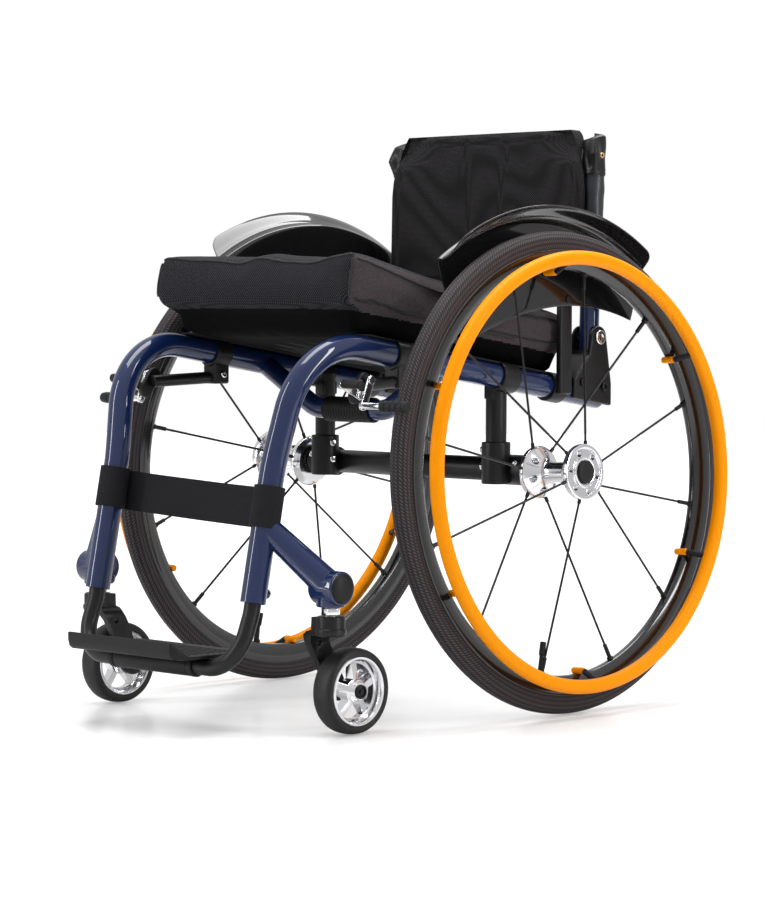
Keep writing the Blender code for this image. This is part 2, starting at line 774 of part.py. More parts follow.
def make_handrim(tag, side, pivot):
    """The push ring with the six tabs that hold it under the rim."""
    angles = [index * math.pi / 3.0 + math.pi / 6.0 for index in range(6)]
    round_radius = HANDRIM_TUBE_RADIUS
    section = [
        (HANDRIM_RADIUS + round_radius * math.cos(a), HANDRIM_OFFSET - round_radius * math.sin(a))
        for a in angles
    ]
    ring = turned("handrim_" + tag, section, wheel_centre(side), wheel_axis(side), WHEEL_STEPS, True)
    seat = RIM_FLAT_RADIUS - GAP - HANDRIM_TAB_RADIUS
    facet = 180.0 / WHEEL_STEPS
    paths = []
    for index in range(SPOKE_PAIRS):
        bearing = 7.0 * facet + index * 360.0 / SPOKE_PAIRS
        paths.append([
            wheel_point(side, seat, bearing, -RIM_INNER_WIDTH / 2.0),
            wheel_point(side, seat, bearing, RIM_INNER_WIDTH / 2.0 + 0.002),
            wheel_point(side, HANDRIM_RADIUS - 0.002, bearing, HANDRIM_OFFSET - 0.003),
        ])
    join(ring, tubes("tabs", paths, HANDRIM_TAB_RADIUS, 6))
    return finish(ring, "orange_coat", pivot)


def make_axle_button(tag, side):
    pivot = axle_pivot("axle_button_pivot_" + tag, side)
    back = button_seat()
    face = HUB_FACE + BUTTON_PROUD
    profile = [
        (0.0, face),
        (BUTTON_RADIUS - 0.002, face),
        (BUTTON_RADIUS, face - 0.0015),
        (BUTTON_RADIUS, back),
        (PLUNGER_RADIUS, back),
        (PLUNGER_RADIUS, back - PLUNGER_LENGTH),
        (0.0, back - PLUNGER_LENGTH),
    ]
    centre = wheel_centre(side)
    button = turned("axle_button_" + tag, profile, centre, wheel_axis(side), ROUND_SIDES, False)
    return finish(button, "black_plastic", pivot)


# Casters

def make_caster_arm(tag, side):
    """The brace from the leg, with the caster housing and its two bores."""
    root = leg_point(side, BRACE_ROOT_Z)
    middle_x = (HOUSING_INNER_X + HOUSING_OUTER_X) / 2.0
    tip = Vector((side * middle_x, CASTER_STEM_Y, HOUSING_Z))
    arm = rod("caster_arm_" + tag, root, tip, BRACE_ROOT_RADIUS, TUBE_SIDES, BRACE_TIP_RADIUS)
    inner = (side * HOUSING_INNER_X, CASTER_STEM_Y, HOUSING_Z)
    outer = (side * HOUSING_OUTER_X, CASTER_STEM_Y, HOUSING_Z)
    join(arm, rod("barrel", inner, outer, HOUSING_RADIUS))
    stem_x = side * CASTER_X
    foot = (stem_x, CASTER_STEM_Y, HOUSING_FOOT_Z)
    join(arm, rod("foot", foot, (stem_x, CASTER_STEM_Y, HOUSING_Z), HOUSING_FOOT_RADIUS))
    reach = LEG_AXIS * 0.06
    cut(arm, rod("leg", root - reach, root + reach, bore(FRAME_RADIUS)))
    low = (stem_x, CASTER_STEM_Y, HOUSING_FOOT_Z - 0.01)
    high = (stem_x, CASTER_STEM_Y, STEM_TOP_Z + GAP)
    cut(arm, rod("stem", low, high, bore(STEM_RADIUS)))
    seat = (side * (HOUSING_OUTER_X - CAP_SPIGOT - GAP), CASTER_STEM_Y, HOUSING_Z)
    mouth = (side * (HOUSING_OUTER_X + 0.01), CASTER_STEM_Y, HOUSING_Z)
    cut(arm, rod("cap", seat, mouth, bore(CAP_SPIGOT_RADIUS)))
    finish(arm, "navy_paint")

    profile = [
        (0.0, 0.0055),
        (CAP_RADIUS, 0.002),
        (CAP_RADIUS, GAP),
        (CAP_SPIGOT_RADIUS, GAP),
        (CAP_SPIGOT_RADIUS, -CAP_SPIGOT),
        (0.0, -CAP_SPIGOT),
    ]
    cap = turned("caster_arm_cap_" + tag, profile, outer, (side, 0, 0), ROUND_SIDES, False)
    return finish(cap, "black_plastic")


def fork_outlines():
    """The fork arm seen from the front (x, z) and from the side (y, z)."""
    face = CASTER_X - CASTER_WIDTH / 2.0 - 0.0045
    bulge = face - FORK_ARM_BULGE
    low = CASTER_RADIUS - FORK_BOSS_RADIUS - 0.001
    head_low = FORK_TOP_Z - FORK_HEAD
    front = [
        (CASTER_X, FORK_TOP_Z),
        (CASTER_X - FORK_HEAD_RADIUS - 0.002, FORK_TOP_Z),
        (bulge - FORK_ARM + 0.003, FORK_TOP_Z - 0.010),
        (bulge - FORK_ARM, head_low - 0.004),
        (bulge - FORK_ARM, head_low - 0.022),
        (face - FORK_ARM, CASTER_RADIUS + 0.018),
        (face - FORK_ARM, low),
        (face, low),
        (face, CASTER_RADIUS + 0.020),
        (bulge, head_low - 0.024),
        (bulge, head_low - 0.010),
        (CASTER_X - FORK_HEAD_RADIUS, head_low),
        (CASTER_X, head_low),
    ]
    lobe = arc((CASTER_AXLE_Y, CASTER_RADIUS), FORK_BOSS_RADIUS, 180.0, 360.0, 6)
    shoulder = FORK_HALF_WIDTH
    outline = [
        (CASTER_STEM_Y - shoulder, FORK_TOP_Z + 0.005),
        (CASTER_STEM_Y - shoulder, head_low),
        *lobe,
        (CASTER_STEM_Y + shoulder, head_low),
        (CASTER_STEM_Y + shoulder, FORK_TOP_Z + 0.005),
    ]
    return front, outline


def make_caster(tag, side):
    stem_x = side * CASTER_X
    swivel = make_empty(
        "caster_swivel_" + tag, (stem_x, CASTER_STEM_Y, FORK_TOP_Z), Matrix.Identity(3), DATUM
    )
    hub = Vector((stem_x, CASTER_AXLE_Y, CASTER_RADIUS))
    outward = Vector((side, 0.0, 0.0))
    turn = outward.to_track_quat("Z", "Y").to_matrix()
    spin = make_empty("caster_axle_" + tag, hub, turn, DATUM)

    front, outline = fork_outlines()
    profile = [(side * x, z) for x, z in front]
    middle = Matrix.Translation((0.0, CASTER_STEM_Y + CASTER_TRAIL / 2.0, 0.0))
    fork = slab("caster_fork_" + tag, [profile], FORK_DEPTH, middle @ PLANE_XZ)
    across = Matrix.Translation((stem_x, 0.0, 0.0)) @ PLANE_YZ
    boolean(fork, slab("side", [outline], 2.0 * CASTER_RADIUS, across), "INTERSECT")
    head_low = (stem_x, CASTER_STEM_Y, FORK_TOP_Z - FORK_HEAD)
    join(fork, rod("head", head_low, (stem_x, CASTER_STEM_Y, FORK_TOP_Z), FORK_HEAD_RADIUS))
    stem_foot = FORK_TOP_Z - FORK_HEAD + 0.003
    stem_low = (stem_x, CASTER_STEM_Y, stem_foot)
    cut(fork, rod("stem", stem_low, (stem_x, CASTER_STEM_Y, FORK_TOP_Z + 0.01), bore(STEM_RADIUS)))
    cut(fork, rod("bolt", hub - outward * 0.06, hub, bore(CASTER_BOLT_RADIUS)))
    eye = Vector((stem_x, CASTER_STEM_Y + 0.003, FORK_TOP_Z - FORK_HEAD - 0.010))
    cut(fork, rod("eye", eye - outward * 0.06, eye, FORK_HOLE_RADIUS, SMALL_SIDES))
    finish(fork, "black_satin", swivel)

    nut_top = HOUSING_FOOT_Z - GAP
    profile = [
        (0.0, STEM_TOP_Z),
        (STEM_RADIUS, STEM_TOP_Z),
        (STEM_RADIUS, nut_top),
        (STEM_NUT_RADIUS, nut_top),
        (STEM_NUT_RADIUS, nut_top - STEM_NUT),
        (STEM_RADIUS, nut_top - STEM_NUT),
        (STEM_RADIUS, stem_foot + GAP),
        (0.0, stem_foot + GAP),
    ]
    stem = turned("caster_stem_" + tag, profile, (stem_x, CASTER_STEM_Y, 0.0), (0, 0, 1), 16, False)
    finish(stem, "chrome", swivel)

    face = CASTER_WIDTH / 2.0 + 0.0045
    cap = CASTER_WIDTH / 2.0 + 0.0013
    profile = [
        (0.0, cap + 0.0035),
        (CASTER_HUB_RADIUS, cap + 0.0025),
        (CASTER_HUB_RADIUS, cap),
        (CASTER_BOLT_RADIUS, cap),
        (CASTER_BOLT_RADIUS, -face - FORK_ARM - GAP),
        (0.009, -face - FORK_ARM - GAP),
        (0.009, -face - FORK_ARM - 0.003),
        (0.0, -face - FORK_ARM - 0.003),
    ]
    bolt = turned("caster_bolt_" + tag, profile, hub, outward, 16, False)
    finish(bolt, "black_satin", swivel)

    make_caster_wheel(tag, side, hub, spin)


def make_caster_wheel(tag, side, hub, spin):
    outward = (side, 0.0, 0.0)
    rim_radius = CASTER_RADIUS - CASTER_TYRE_HEIGHT
    half = CASTER_WIDTH / 2.0
    seat = bore(rim_radius, CASTER_STEPS)
    section = [
        (CASTER_RADIUS, half - 0.007),
        (CASTER_RADIUS, 0.007 - half),
        (CASTER_RADIUS - 0.0025, 0.002 - half),
        (CASTER_RADIUS - 0.007, -half),
        (seat, 0.0015 - half),
        (seat, half - 0.0015),
        (CASTER_RADIUS - 0.007, half),
        (CASTER_RADIUS - 0.0025, half - 0.002),
    ]
    tyre = turned("caster_tyre_" + tag, section, hub, outward, CASTER_STEPS, True)
    finish(tyre, "tyre_rubber", spin)

    edge = half - 0.0015
    lip = rim_radius - 0.0055
    hole = bore(CASTER_BOLT_RADIUS)
    outer_face = half + 0.001
    inner_face = half + 0.0045 - GAP
    profile = [
        (rim_radius, edge),
        (rim_radius, -edge),
        (lip, -edge),
        (lip - 0.001, -0.005),
        (CASTER_HUB_RADIUS, -0.005),
        (CASTER_HUB_RADIUS, -inner_face),
        (hole, -inner_face),
        (hole, outer_face),
        (CASTER_HUB_RADIUS, outer_face),
        (CASTER_HUB_RADIUS, 0.005),
        (lip - 0.001, 0.005),
        (lip, edge),
    ]
    wheel = turned("caster_wheel_" + tag, profile, hub, outward, ROUND_SIDES, True)
    windows = slab("windows", caster_windows(lip - 0.0025), 0.030, Matrix.Translation(hub) @ PLANE_YZ)
    cut(wheel, windows)
    return finish(wheel, "polished_alloy", spin)


def caster_windows(outer):
    """Five openings between the spokes, each a wedge with its sides beside the spokes."""
    inner = CASTER_HUB_RADIUS + 0.003
    half_spoke = CASTER_SPOKE_WIDTH / 2.0
    outlines = []
    for index in range(CASTER_SPOKES):
        middle = 90.0 + 360.0 * (index + 0.5) / CASTER_SPOKES
        spread = 180.0 / CASTER_SPOKES
        wide = spread - math.degrees(math.asin(half_spoke / outer))
        narrow = spread - math.degrees(math.asin(half_spoke / inner))
        rim_side = arc((0.0, 0.0), outer, middle - wide, middle + wide, 3)
        hub_side = arc((0.0, 0.0), inner, middle + narrow, middle - narrow, 1)
        outlines.append(rim_side + hub_side)
    return outlines


# Footrest

def make_footrest():
    slide = make_empty(
        "footrest_slide", (0.0, FRAME_FOOT[1], FRAME_FOOT[2]), LEG_FRAME.to_3x3(), DATUM
    )
    foot = Vector(FRAME_FOOT)
    top = foot + LEG_AXIS * FOOTREST_GRIP
    neck = foot - LEG_AXIS * FOOTREST_NECK
    corner = Vector((foot.x, FOOTREST_BAR_Y, FOOTREST_BAR_Z))
    left = [top, neck, corner]
    path = left + [on_side(point, -1.0) for point in reversed(left)]
    bends = (FOOTREST_BEND, FOOTREST_BEND, FOOTREST_BEND, FOOTREST_BEND)
    tube = tubes("footrest_tube", [fillet(path, bends)], FOOTREST_RADIUS, SMALL_SIDES)
    finish(tube, "black_satin", slide)

    bottom = FOOTPLATE_TOP_Z - FOOTPLATE_THICKNESS
    front = FOOTPLATE_FRONT_Y
    outline = [
        (FOOTPLATE_REAR_Y, bottom),
        (front + 0.015, bottom),
        (front + 0.004, bottom + 0.005),
        (front, bottom + 0.010),
        (front, FOOTPLATE_TOP_Z + FOOTPLATE_LIP),
        (front + FOOTPLATE_THICKNESS, FOOTPLATE_TOP_Z + FOOTPLATE_LIP),
        (front + FOOTPLATE_THICKNESS, FOOTPLATE_TOP_Z + 0.006),
        (front + 0.007, FOOTPLATE_TOP_Z + 0.003),
        (front + 0.015, FOOTPLATE_TOP_Z),
        (FOOTPLATE_REAR_Y, FOOTPLATE_TOP_Z),
    ]
    plate = slab("footplate", [outline], 2.0 * FOOTPLATE_HALF_WIDTH, PLANE_YZ)
    left_end = (-FOOT_CLAMP_HALF, FOOTREST_BAR_Y, FOOTREST_BAR_Z)
    right_end = (FOOT_CLAMP_HALF, FOOTREST_BAR_Y, FOOTREST_BAR_Z)
    join(plate, rod("clamp", left_end, right_end, FOOTREST_RADIUS + GAP + FOOT_CLAMP_WALL))
    reach = Vector((FOOT_CLAMP_HALF + 0.02, 0.0, 0.0))
    middle = Vector((0.0, FOOTREST_BAR_Y, FOOTREST_BAR_Z))
    cut(plate, rod("bar", middle - reach, middle + reach, bore(FOOTREST_RADIUS)))
    return finish(plate, "black_plastic", slide)


def make_calf_strap():
    """Two loops round the legs and the band behind them, square to the legs."""
    middle = leg_point(1.0, STRAP_Z)
    frame = Matrix.Translation((0.0, middle.y, middle.z)) @ LEG_FRAME
    start = FRAME_RADIUS + GAP
    count = 8
    front = []
    back = []
    for index in range(count + 1):
        share = 2.0 * index / count - 1.0
        sag = STRAP_SAG * (1.0 - share * share)
        front.append((middle.x * share, start + sag))
        back.append((middle.x * share, start + STRAP_THICKNESS + sag))
    strap = slab("calf_strap", [front + back[::-1]], STRAP_WIDTH - 0.005, frame)
    for tag, side in SIDES:
        centre = leg_point(side, STRAP_Z)
        reach = LEG_AXIS * STRAP_WIDTH / 2.0
        outer = FRAME_RADIUS + GAP + STRAP_THICKNESS
        join(strap, rod("loop_" + tag, centre - reach, centre + reach, outer))
        cut(strap, rod("leg_" + tag, centre - reach * 2.0, centre + reach * 2.0, bore(FRAME_RADIUS)))
    return finish(strap, "black_webbing")


# Seat

def make_seat():
    seat = seat_frame()
    cosine = math.cos(RAIL_PITCH)
    bottom = FRAME_RADIUS + GAP
    ends = (SLING_FRONT_Y, SLING_REAR_Y)
    left = [(rail_point(1.0, y).x + SLING_OVERHANG, y / cosine) for y in ends]
    right = [(-x, y) for x, y in reversed(left)]
    lift = Matrix.Translation((0.0, 0.0, bottom + SLING_THICKNESS / 2.0))
    sling = slab("seat_sling", [left + right], SLING_THICKNESS, seat @ lift)
    clamps = (
        (BRAKE_CLAMP_Y, BRAKE_CLAMP_LENGTH),
        (POST_Y, SADDLE_LENGTH),
        (RECEIVER_Y, RECEIVER_LENGTH),
    )
    for tag, side in SIDES:
        for y, length in clamps:
            inner = rail_point(side, y).x - side * SLING_NOTCH
            outer = inner + side * 0.040
            half = length / 2.0 + 0.002
            low = (min(inner, outer), y / cosine - half, bottom - 0.005)
            high = (max(inner, outer), y / cosine + half, bottom + 0.010)
            cut(sling, box("notch_" + tag, low, high, seat))
    finish(sling, "black_fabric")

    base = bottom + SLING_THICKNESS + GAP
    front = CUSHION_FRONT_Y / cosine
    rear = CUSHION_REAR_Y / cosine
    outline = [
        (front, base),
        (rear, base),
        (rear, base + CUSHION_REAR_HEIGHT),
        (CUSHION_KNEE_Y / cosine, base + CUSHION_KNEE_HEIGHT),
        (front, base + CUSHION_FRONT_HEIGHT),
    ]
    cushion = slab("seat_cushion", [outline], 2.0 * CUSHION_HALF_WIDTH, seat @ PLANE_YZ)
    bevel(cushion, CUSHION_EDGE, 2)
    return finish(cushion, "black_fabric")


# Side guards

def guard_point(side, x, radius, angle):
    """A point above the axle: the angle is from straight up, towards the rear."""
    return (side * x, radius * math.sin(angle), WHEEL_Z + radius * math.cos(angle))


def guard_low_radius(degrees):
    """The lower edge of the side panel, as a radius about the rear axle."""
    low = WHEEL_RADIUS - GUARD_PANEL_DROP
    return low + GUARD_EDGE_RISE * degrees + GUARD_EDGE_CURVE * degrees * degrees


def guard_low_z(y):
    """The height of the side panel's lower edge at one place along the rail."""
    angle = math.atan2(y, guard_low_radius(0.0))
    return WHEEL_Z + guard_low_radius(math.degrees(angle)) * math.cos(angle)


def make_side_guard(tag, side):
    """A flat panel beside the tyre whose top flares out to just above the tyre."""
    crown = WHEEL_RADIUS + GUARD_CROWN_RISE
    crease = crown - GUARD_CREASE_DROP
    wing = (
        (GUARD_X, crease),
        (GUARD_X + 0.008, crown - 0.019),
        (GUARD_X + 0.018, crown - 0.0145),
        (GUARD_OUTER_X - 0.006, crown - 0.004),
        (GUARD_OUTER_X, crown),
    )
    bm = bmesh.new()
    columns = []
    for index in range(GUARD_COLUMNS):
        share = index / (GUARD_COLUMNS - 1)
        angles = [front + (rear - front) * share for front, rear in GUARD_ENDS]
        low = guard_low_radius(angles[0])
        middle = (guard_low_radius(angles[1]) + crease) / 2.0
        rows = [(GUARD_X, low), (GUARD_X, middle), *wing]
        points = []
        for (x, radius), degrees in zip(rows, angles):
            points.append(guard_point(side, x, radius, math.radians(degrees)))
        columns.append([bm.verts.new(point) for point in points])
    for front, back in zip(columns, columns[1:]):
        for first, second, third, fourth in zip(front, front[1:], back[1:], back):
            bm.faces.new((first, second, third, fourth))
    guard = add("side_guard_" + tag, mesh_from(bm, "side_guard_" + tag))
    wall = guard.modifiers.new("wall", "SOLIDIFY")
    wall.thickness = GUARD_WALL
    wall.offset = -1.0
    return finish(guard, "carbon_gloss")


def make_guard_receiver(tag, side):
    """The clamp on the rail with the tab that the guard is bolted to."""
    ring = rail_rod("guard_receiver_" + tag, side, RECEIVER_Y, RECEIVER_LENGTH, RECEIVER_RADIUS)
    face = GUARD_X - GAP
    half = RECEIVER_LENGTH / 2.0 - 0.001
    low_x = side * (face - RECEIVER_TAB)
    high_x = side * face
    low = (min(low_x, high_x), RECEIVER_Y - half, rail_point(side, RECEIVER_Y).z - 0.008)
    top = guard_low_z(RECEIVER_Y) + RECEIVER_LAP
    high = (max(low_x, high_x), RECEIVER_Y + half, top)
    join(ring, box("tab", low, high))
    cut(ring, rail_bore("rail", side, RECEIVER_Y, RECEIVER_LENGTH * 3.0))
    return finish(ring, "black_satin")


# Brakes

def brake_points():
    """The shoe, the shoe's pivot, the lever's pivot and the grip, as (y, z)."""
    reach = WHEEL_RADIUS + SHOE_REST_GAP + SHOE_RADIUS
    shoe = Vector((-reach * math.cos(SHOE_BEARING), WHEEL_Z + reach * math.sin(SHOE_BEARING)))
    shoe_pivot = shoe + Vector((SHOE_PIVOT_BACK, SHOE_PIVOT_UP))
    lever_pivot = shoe_pivot - Vector((LEVER_PIVOT_FORWARD, LEVER_PIVOT_DOWN))
    grip = lever_pivot + LEVER_REACH * Vector((-math.cos(LEVER_REST), math.sin(LEVER_REST)))
    return shoe, shoe_pivot, lever_pivot, grip


def cross_pivot(name, place):
    """An empty whose z axis lies across the chair."""
    axis = Vector((1.0, 0.0, 0.0)).to_track_quat("Z", "Y").to_matrix()
    return make_empty(name, place, axis, DATUM)


def across(side, inner, outer, place):
    """The two ends of a bar along X at a (y, z) place."""
    return (side * inner, place[0], place[1]), (side * outer, place[0], place[1])


def join_pin(mount, side, place, link_face):
    """The pin through a link that stands on link_face, with its head outside."""
    head = link_face + LINK_THICKNESS + GAP
    shank = across(side, PIVOT_PLATE_X + 0.002, head + PIVOT_HEAD / 2.0, place)
    join(mount, rod("pin", *shank, PIVOT_RADIUS, SMALL_SIDES))
    ends = across(side, head, head + PIVOT_HEAD, place)
    join(mount, rod("head", *ends, PIVOT_HEAD_RADIUS, SMALL_SIDES))


def make_brake(tag, side):
    shoe_place, shoe_pivot, lever_pivot, grip_place = brake_points()
    plate_face = PIVOT_PLATE_X + PIVOT_PLATE
    lever_face = plate_face + GAP
    shoe_face = lever_face + LINK_THICKNESS + GAP + PIVOT_HEAD + 0.0008

    name = "brake_mount_" + tag
    mount = rail_rod(name, side, BRAKE_CLAMP_Y, BRAKE_CLAMP_LENGTH, BRAKE_CLAMP_RADIUS)
    clamp = rail_point(side, BRAKE_CLAMP_Y)
    half = BRAKE_BLOCK_HALF
    low = (clamp.x - half, BRAKE_CLAMP_Y - half, clamp.z - BRAKE_BLOCK_DROP)
    high = (clamp.x + half, BRAKE_CLAMP_Y + half, clamp.z)
    join(mount, box("block", low, high))
    block_low = clamp.z - BRAKE_BLOCK_DROP + CARRIER_RADIUS + 0.001
    root = Vector((clamp.x, BRAKE_CLAMP_Y, block_low))
    tip = Vector((side * CARRIER_TIP_X, lever_pivot.x + 0.003, lever_pivot.y + 0.010))
    join(mount, rod("carrier", root, tip, CARRIER_RADIUS, SMALL_SIDES))
    outline = capsule(lever_pivot + Vector((-0.002, -0.001)), shoe_pivot, 0.009)
    middle = Matrix.Translation((side * (PIVOT_PLATE_X + PIVOT_PLATE / 2.0), 0.0, 0.0))
    join(mount, slab("plate", [outline], PIVOT_PLATE, middle @ PLANE_YZ))
    join_pin(mount, side, lever_pivot, lever_face)
    collar = across(side, PIVOT_PLATE_X + 0.002, shoe_face - GAP, shoe_pivot)
    join(mount, rod("collar", *collar, PIVOT_HEAD_RADIUS, SMALL_SIDES))
    join_pin(mount, side, shoe_pivot, shoe_face)
    cut(mount, tubes("rail", [frame_path(side)], FRAME_RADIUS + 2.0 * GAP))
    finish(mount, "black_satin")

    hinge = cross_pivot("brake_lever_pivot_" + tag, (side * lever_face, *lever_pivot))
    middle = Matrix.Translation((side * (lever_face + LINK_THICKNESS / 2.0), 0.0, 0.0))
    link = capsule(lever_pivot, grip_place, LINK_HALF_WIDTH)
    lever = slab("brake_lever_" + tag, [link], LINK_THICKNESS, middle @ PLANE_YZ)
    grip = across(side, lever_face + 0.001, GRIP_END_X, grip_place)
    join(lever, rod("grip", *grip, GRIP_RADIUS, SMALL_SIDES))
    hole = bore(PIVOT_RADIUS, SMALL_SIDES)
    eye = across(side, lever_face - 0.002, lever_face + 0.007, lever_pivot)
    cut(lever, rod("hole", *eye, hole, SMALL_SIDES))
    finish(lever, "chrome", hinge)

    hinge = cross_pivot("brake_shoe_pivot_" + tag, (side * shoe_face, *shoe_pivot))
    middle = Matrix.Translation((side * (shoe_face + LINK_THICKNESS / 2.0), 0.0, 0.0))
    link = capsule(shoe_pivot, shoe_place, LINK_HALF_WIDTH)
    shoe = slab("brake_shoe_" + tag, [link], LINK_THICKNESS, middle @ PLANE_YZ)
    rod_ends = across(side, shoe_face + 0.001, SHOE_INNER_X + 0.002, shoe_place)
    join(shoe, rod("rod", *rod_ends, SHOE_ROD_RADIUS, SMALL_SIDES))
    roller = across(side, SHOE_INNER_X, SHOE_OUTER_X, shoe_place)
    join(shoe, rod("roller", *roller, SHOE_RADIUS, TUBE_SIDES))
    eye = across(side, shoe_face - 0.0015, shoe_face + 0.007, shoe_pivot)
    cut(shoe, rod("hole", *eye, hole, SMALL_SIDES))
    return finish(shoe, "black_plastic", hinge)


# Backrest

def back_frame():
    """The back's own frame: origin on the pivot, z up along the canes."""
    return Matrix.Translation((0.0, PIVOT_Y, PIVOT_Z)) @ Matrix.Rotation(-BACK_LEAN, 4, "X")


def back_point(x, y, z):
    return back_frame() @ Vector((x, y, z))


def make_back_bracket(tag, side):
    """A saddle over the rail's end with two cheeks beside the cane."""
    cane_x = FRAME_REAR[0]
    skirt = [(y, rail_point(1.0, y).z - BRACKET_SKIRT) for y in (BRACKET_FRONT_Y, BRACKET_REAR_Y)]
    eye = arc((PIVOT_Y, PIVOT_Z), BRACKET_EYE_RADIUS, 0.0, 180.0, 6)
    outline = [
        skirt[0],
        skirt[1],
        (BRACKET_REAR_Y, skirt[1][1] + 0.028),
        *eye,
        (PIVOT_Y - BRACKET_EYE_RADIUS - 0.004, PIVOT_Z - 0.022),
        (BRACKET_FRONT_Y + 0.010, skirt[0][1] + 0.034),
        (BRACKET_FRONT_Y, skirt[0][1] + 0.024),
    ]
    middle = Matrix.Translation((side * cane_x, 0.0, 0.0))
    bracket = slab("back_bracket_" + tag, [outline], 2.0 * BRACKET_HALF_WIDTH, middle @ PLANE_YZ)
    half_slot = CANE_RADIUS + SLOT_CLEARANCE
    low = (side * cane_x - half_slot, BRACKET_FRONT_Y - 0.01, PIVOT_Z - SLOT_DROP)
    high = (side * cane_x + half_slot, BRACKET_REAR_Y + 0.02, PIVOT_Z + 0.03)
    cut(bracket, box("slot", low, high))
    middle_y = (BRACKET_FRONT_Y + BRACKET_REAR_Y) / 2.0
    reach = 2.0 * (BRACKET_REAR_Y - BRACKET_FRONT_Y)
    cut(bracket, rail_bore("rail", side, middle_y, reach))
    cut(bracket, pivot_rod("hole", side, bore(PIN_RADIUS), BRACKET_HALF_WIDTH + 0.01))
    finish(bracket, "black_satin")

    pin = pivot_rod("back_pivot_pin_" + tag, side, PIN_RADIUS, BRACKET_HALF_WIDTH + GAP + 0.001)
    for inward in (-1.0, 1.0):
        near = side * cane_x + inward * (BRACKET_HALF_WIDTH + GAP)
        far = near + inward * PIN_HEAD
        ends = ((near, PIVOT_Y, PIVOT_Z), (far, PIVOT_Y, PIVOT_Z))
        join(pin, rod("head", *ends, PIN_HEAD_RADIUS, TUBE_SIDES))
    return finish(pin, "chrome")


def pivot_rod(name, side, radius, half_length):
    """A bar along X through the back's pivot at one cane."""
    x = side * FRAME_REAR[0]
    start = (x - half_length, PIVOT_Y, PIVOT_Z)
    return rod(name, start, (x + half_length, PIVOT_Y, PIVOT_Z), radius)


def hood_fold(x, side):
    """The pointed fold of the hood, outwards and forwards of the cane."""
    root = COVER_RADIUS - 0.002
    outline = [
        (0.0, HOOD_FOOT),
        (root, HOOD_FOOT),
        (HOOD_FOLD, HOOD_FOLD_HEIGHT),
        (root, HOOD_TOP - 0.001),
        (0.0, HOOD_TOP - 0.001),
    ]
    turn = Matrix.Rotation(math.radians(-90.0 + side * 45.0), 4, "Z")
    place = back_frame() @ Matrix.Translation((x, 0.0, 0.0)) @ turn @ PLANE_XZ
    return bevel(slab("hood_fold", [outline], HOOD_FOLD_THICKNESS, place), 0.004, 1)


def make_backrest():
    hinge = cross_pivot("backrest_pivot", (0.0, PIVOT_Y, PIVOT_Z))
    for tag, side in SIDES:
        x = side * FRAME_REAR[0]
        path = [back_point(x, 0.0, -CANE_FOOT), back_point(x, 0.0, CANE_TOP)]
        cane = tubes("back_cane_" + tag, [path], CANE_RADIUS)
        stud = (back_point(x, 0.006, -0.002), back_point(x, STUD_REACH, -0.002))
        join(cane, rod("stud", *stud, STUD_RADIUS, 8))
        cut(cane, pivot_rod("hole", side, bore(PIN_RADIUS), 0.03))
        finish(cane, "navy_paint", hinge)

        foot = back_point(x, 0.0, COVER_FOOT)
        cover = rod("cane_cover_" + tag, foot, back_point(x, 0.0, HOOD_TOP), COVER_RADIUS)
        join(cover, hood_fold(x, side))
        start = back_point(x, 0.0, COVER_FOOT - 0.01)
        end = back_point(x, 0.0, CANE_TOP + GAP)
        cut(cover, rod("cane", start, end, bore(CANE_RADIUS)))
        finish(cover, "black_fabric", hinge)

    rear = -COVER_RADIUS - GAP
    half = [
        (BACK_HALF_WIDTH - 0.0025, BACK_FOOT),
        (BACK_HALF_WIDTH, BACK_FOOT + 0.009),
        (BACK_HALF_WIDTH, BACK_SHOULDER_HEIGHT - 0.043),
        (BACK_HALF_WIDTH - 0.006, BACK_SHOULDER_HEIGHT - 0.018),
        (BACK_SHOULDER, BACK_SHOULDER_HEIGHT),
        (BACK_SHOULDER - 0.006, BACK_SHOULDER_HEIGHT + 0.027),
        (BACK_TOP_HALF_WIDTH, BACK_TOP),
    ]
    outline = half + [(-x, z) for x, z in reversed(half)]
    middle = Matrix.Translation((0.0, rear - BACK_THICKNESS / 2.0, 0.0))
    panel = slab("back_upholstery", [outline], BACK_THICKNESS, back_frame() @ middle @ PLANE_XZ)
    return finish(panel, "black_fabric", hinge)


def main():
    for tag, side in SIDES:
        make_frame_side(tag, side)
        make_axle_post(tag, side)
        make_axle_clamp(tag, side)
        make_axle_pin(tag, side)
        make_rear_wheel(tag, side)
        make_axle_button(tag, side)
        make_caster_arm(tag, side)
        make_caster(tag, side)
        make_side_guard(tag, side)
        make_guard_receiver(tag, side)
        make_brake(tag, side)
        make_back_bracket(tag, side)
    make_cross_tube()
    make_camber_tube()
    make_footrest()
    make_calf_strap()
    make_seat()
    make_backrest()


main()
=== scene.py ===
"""Looks of the rigid wheelchair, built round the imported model.

Metres. Shapes are written for the sitter's left side, from a datum on the floor below the
rear axle. place() moves a piece from the datum into the model's frame and puts it on its
body, and pair() does that for a left piece and its mirror image.
"""

from math import asin, atan2, ceil, copysign, cos, degrees, exp, hypot, pi, radians, sin, sqrt, tan

import bmesh
import bpy
from mathutils import Matrix, Vector


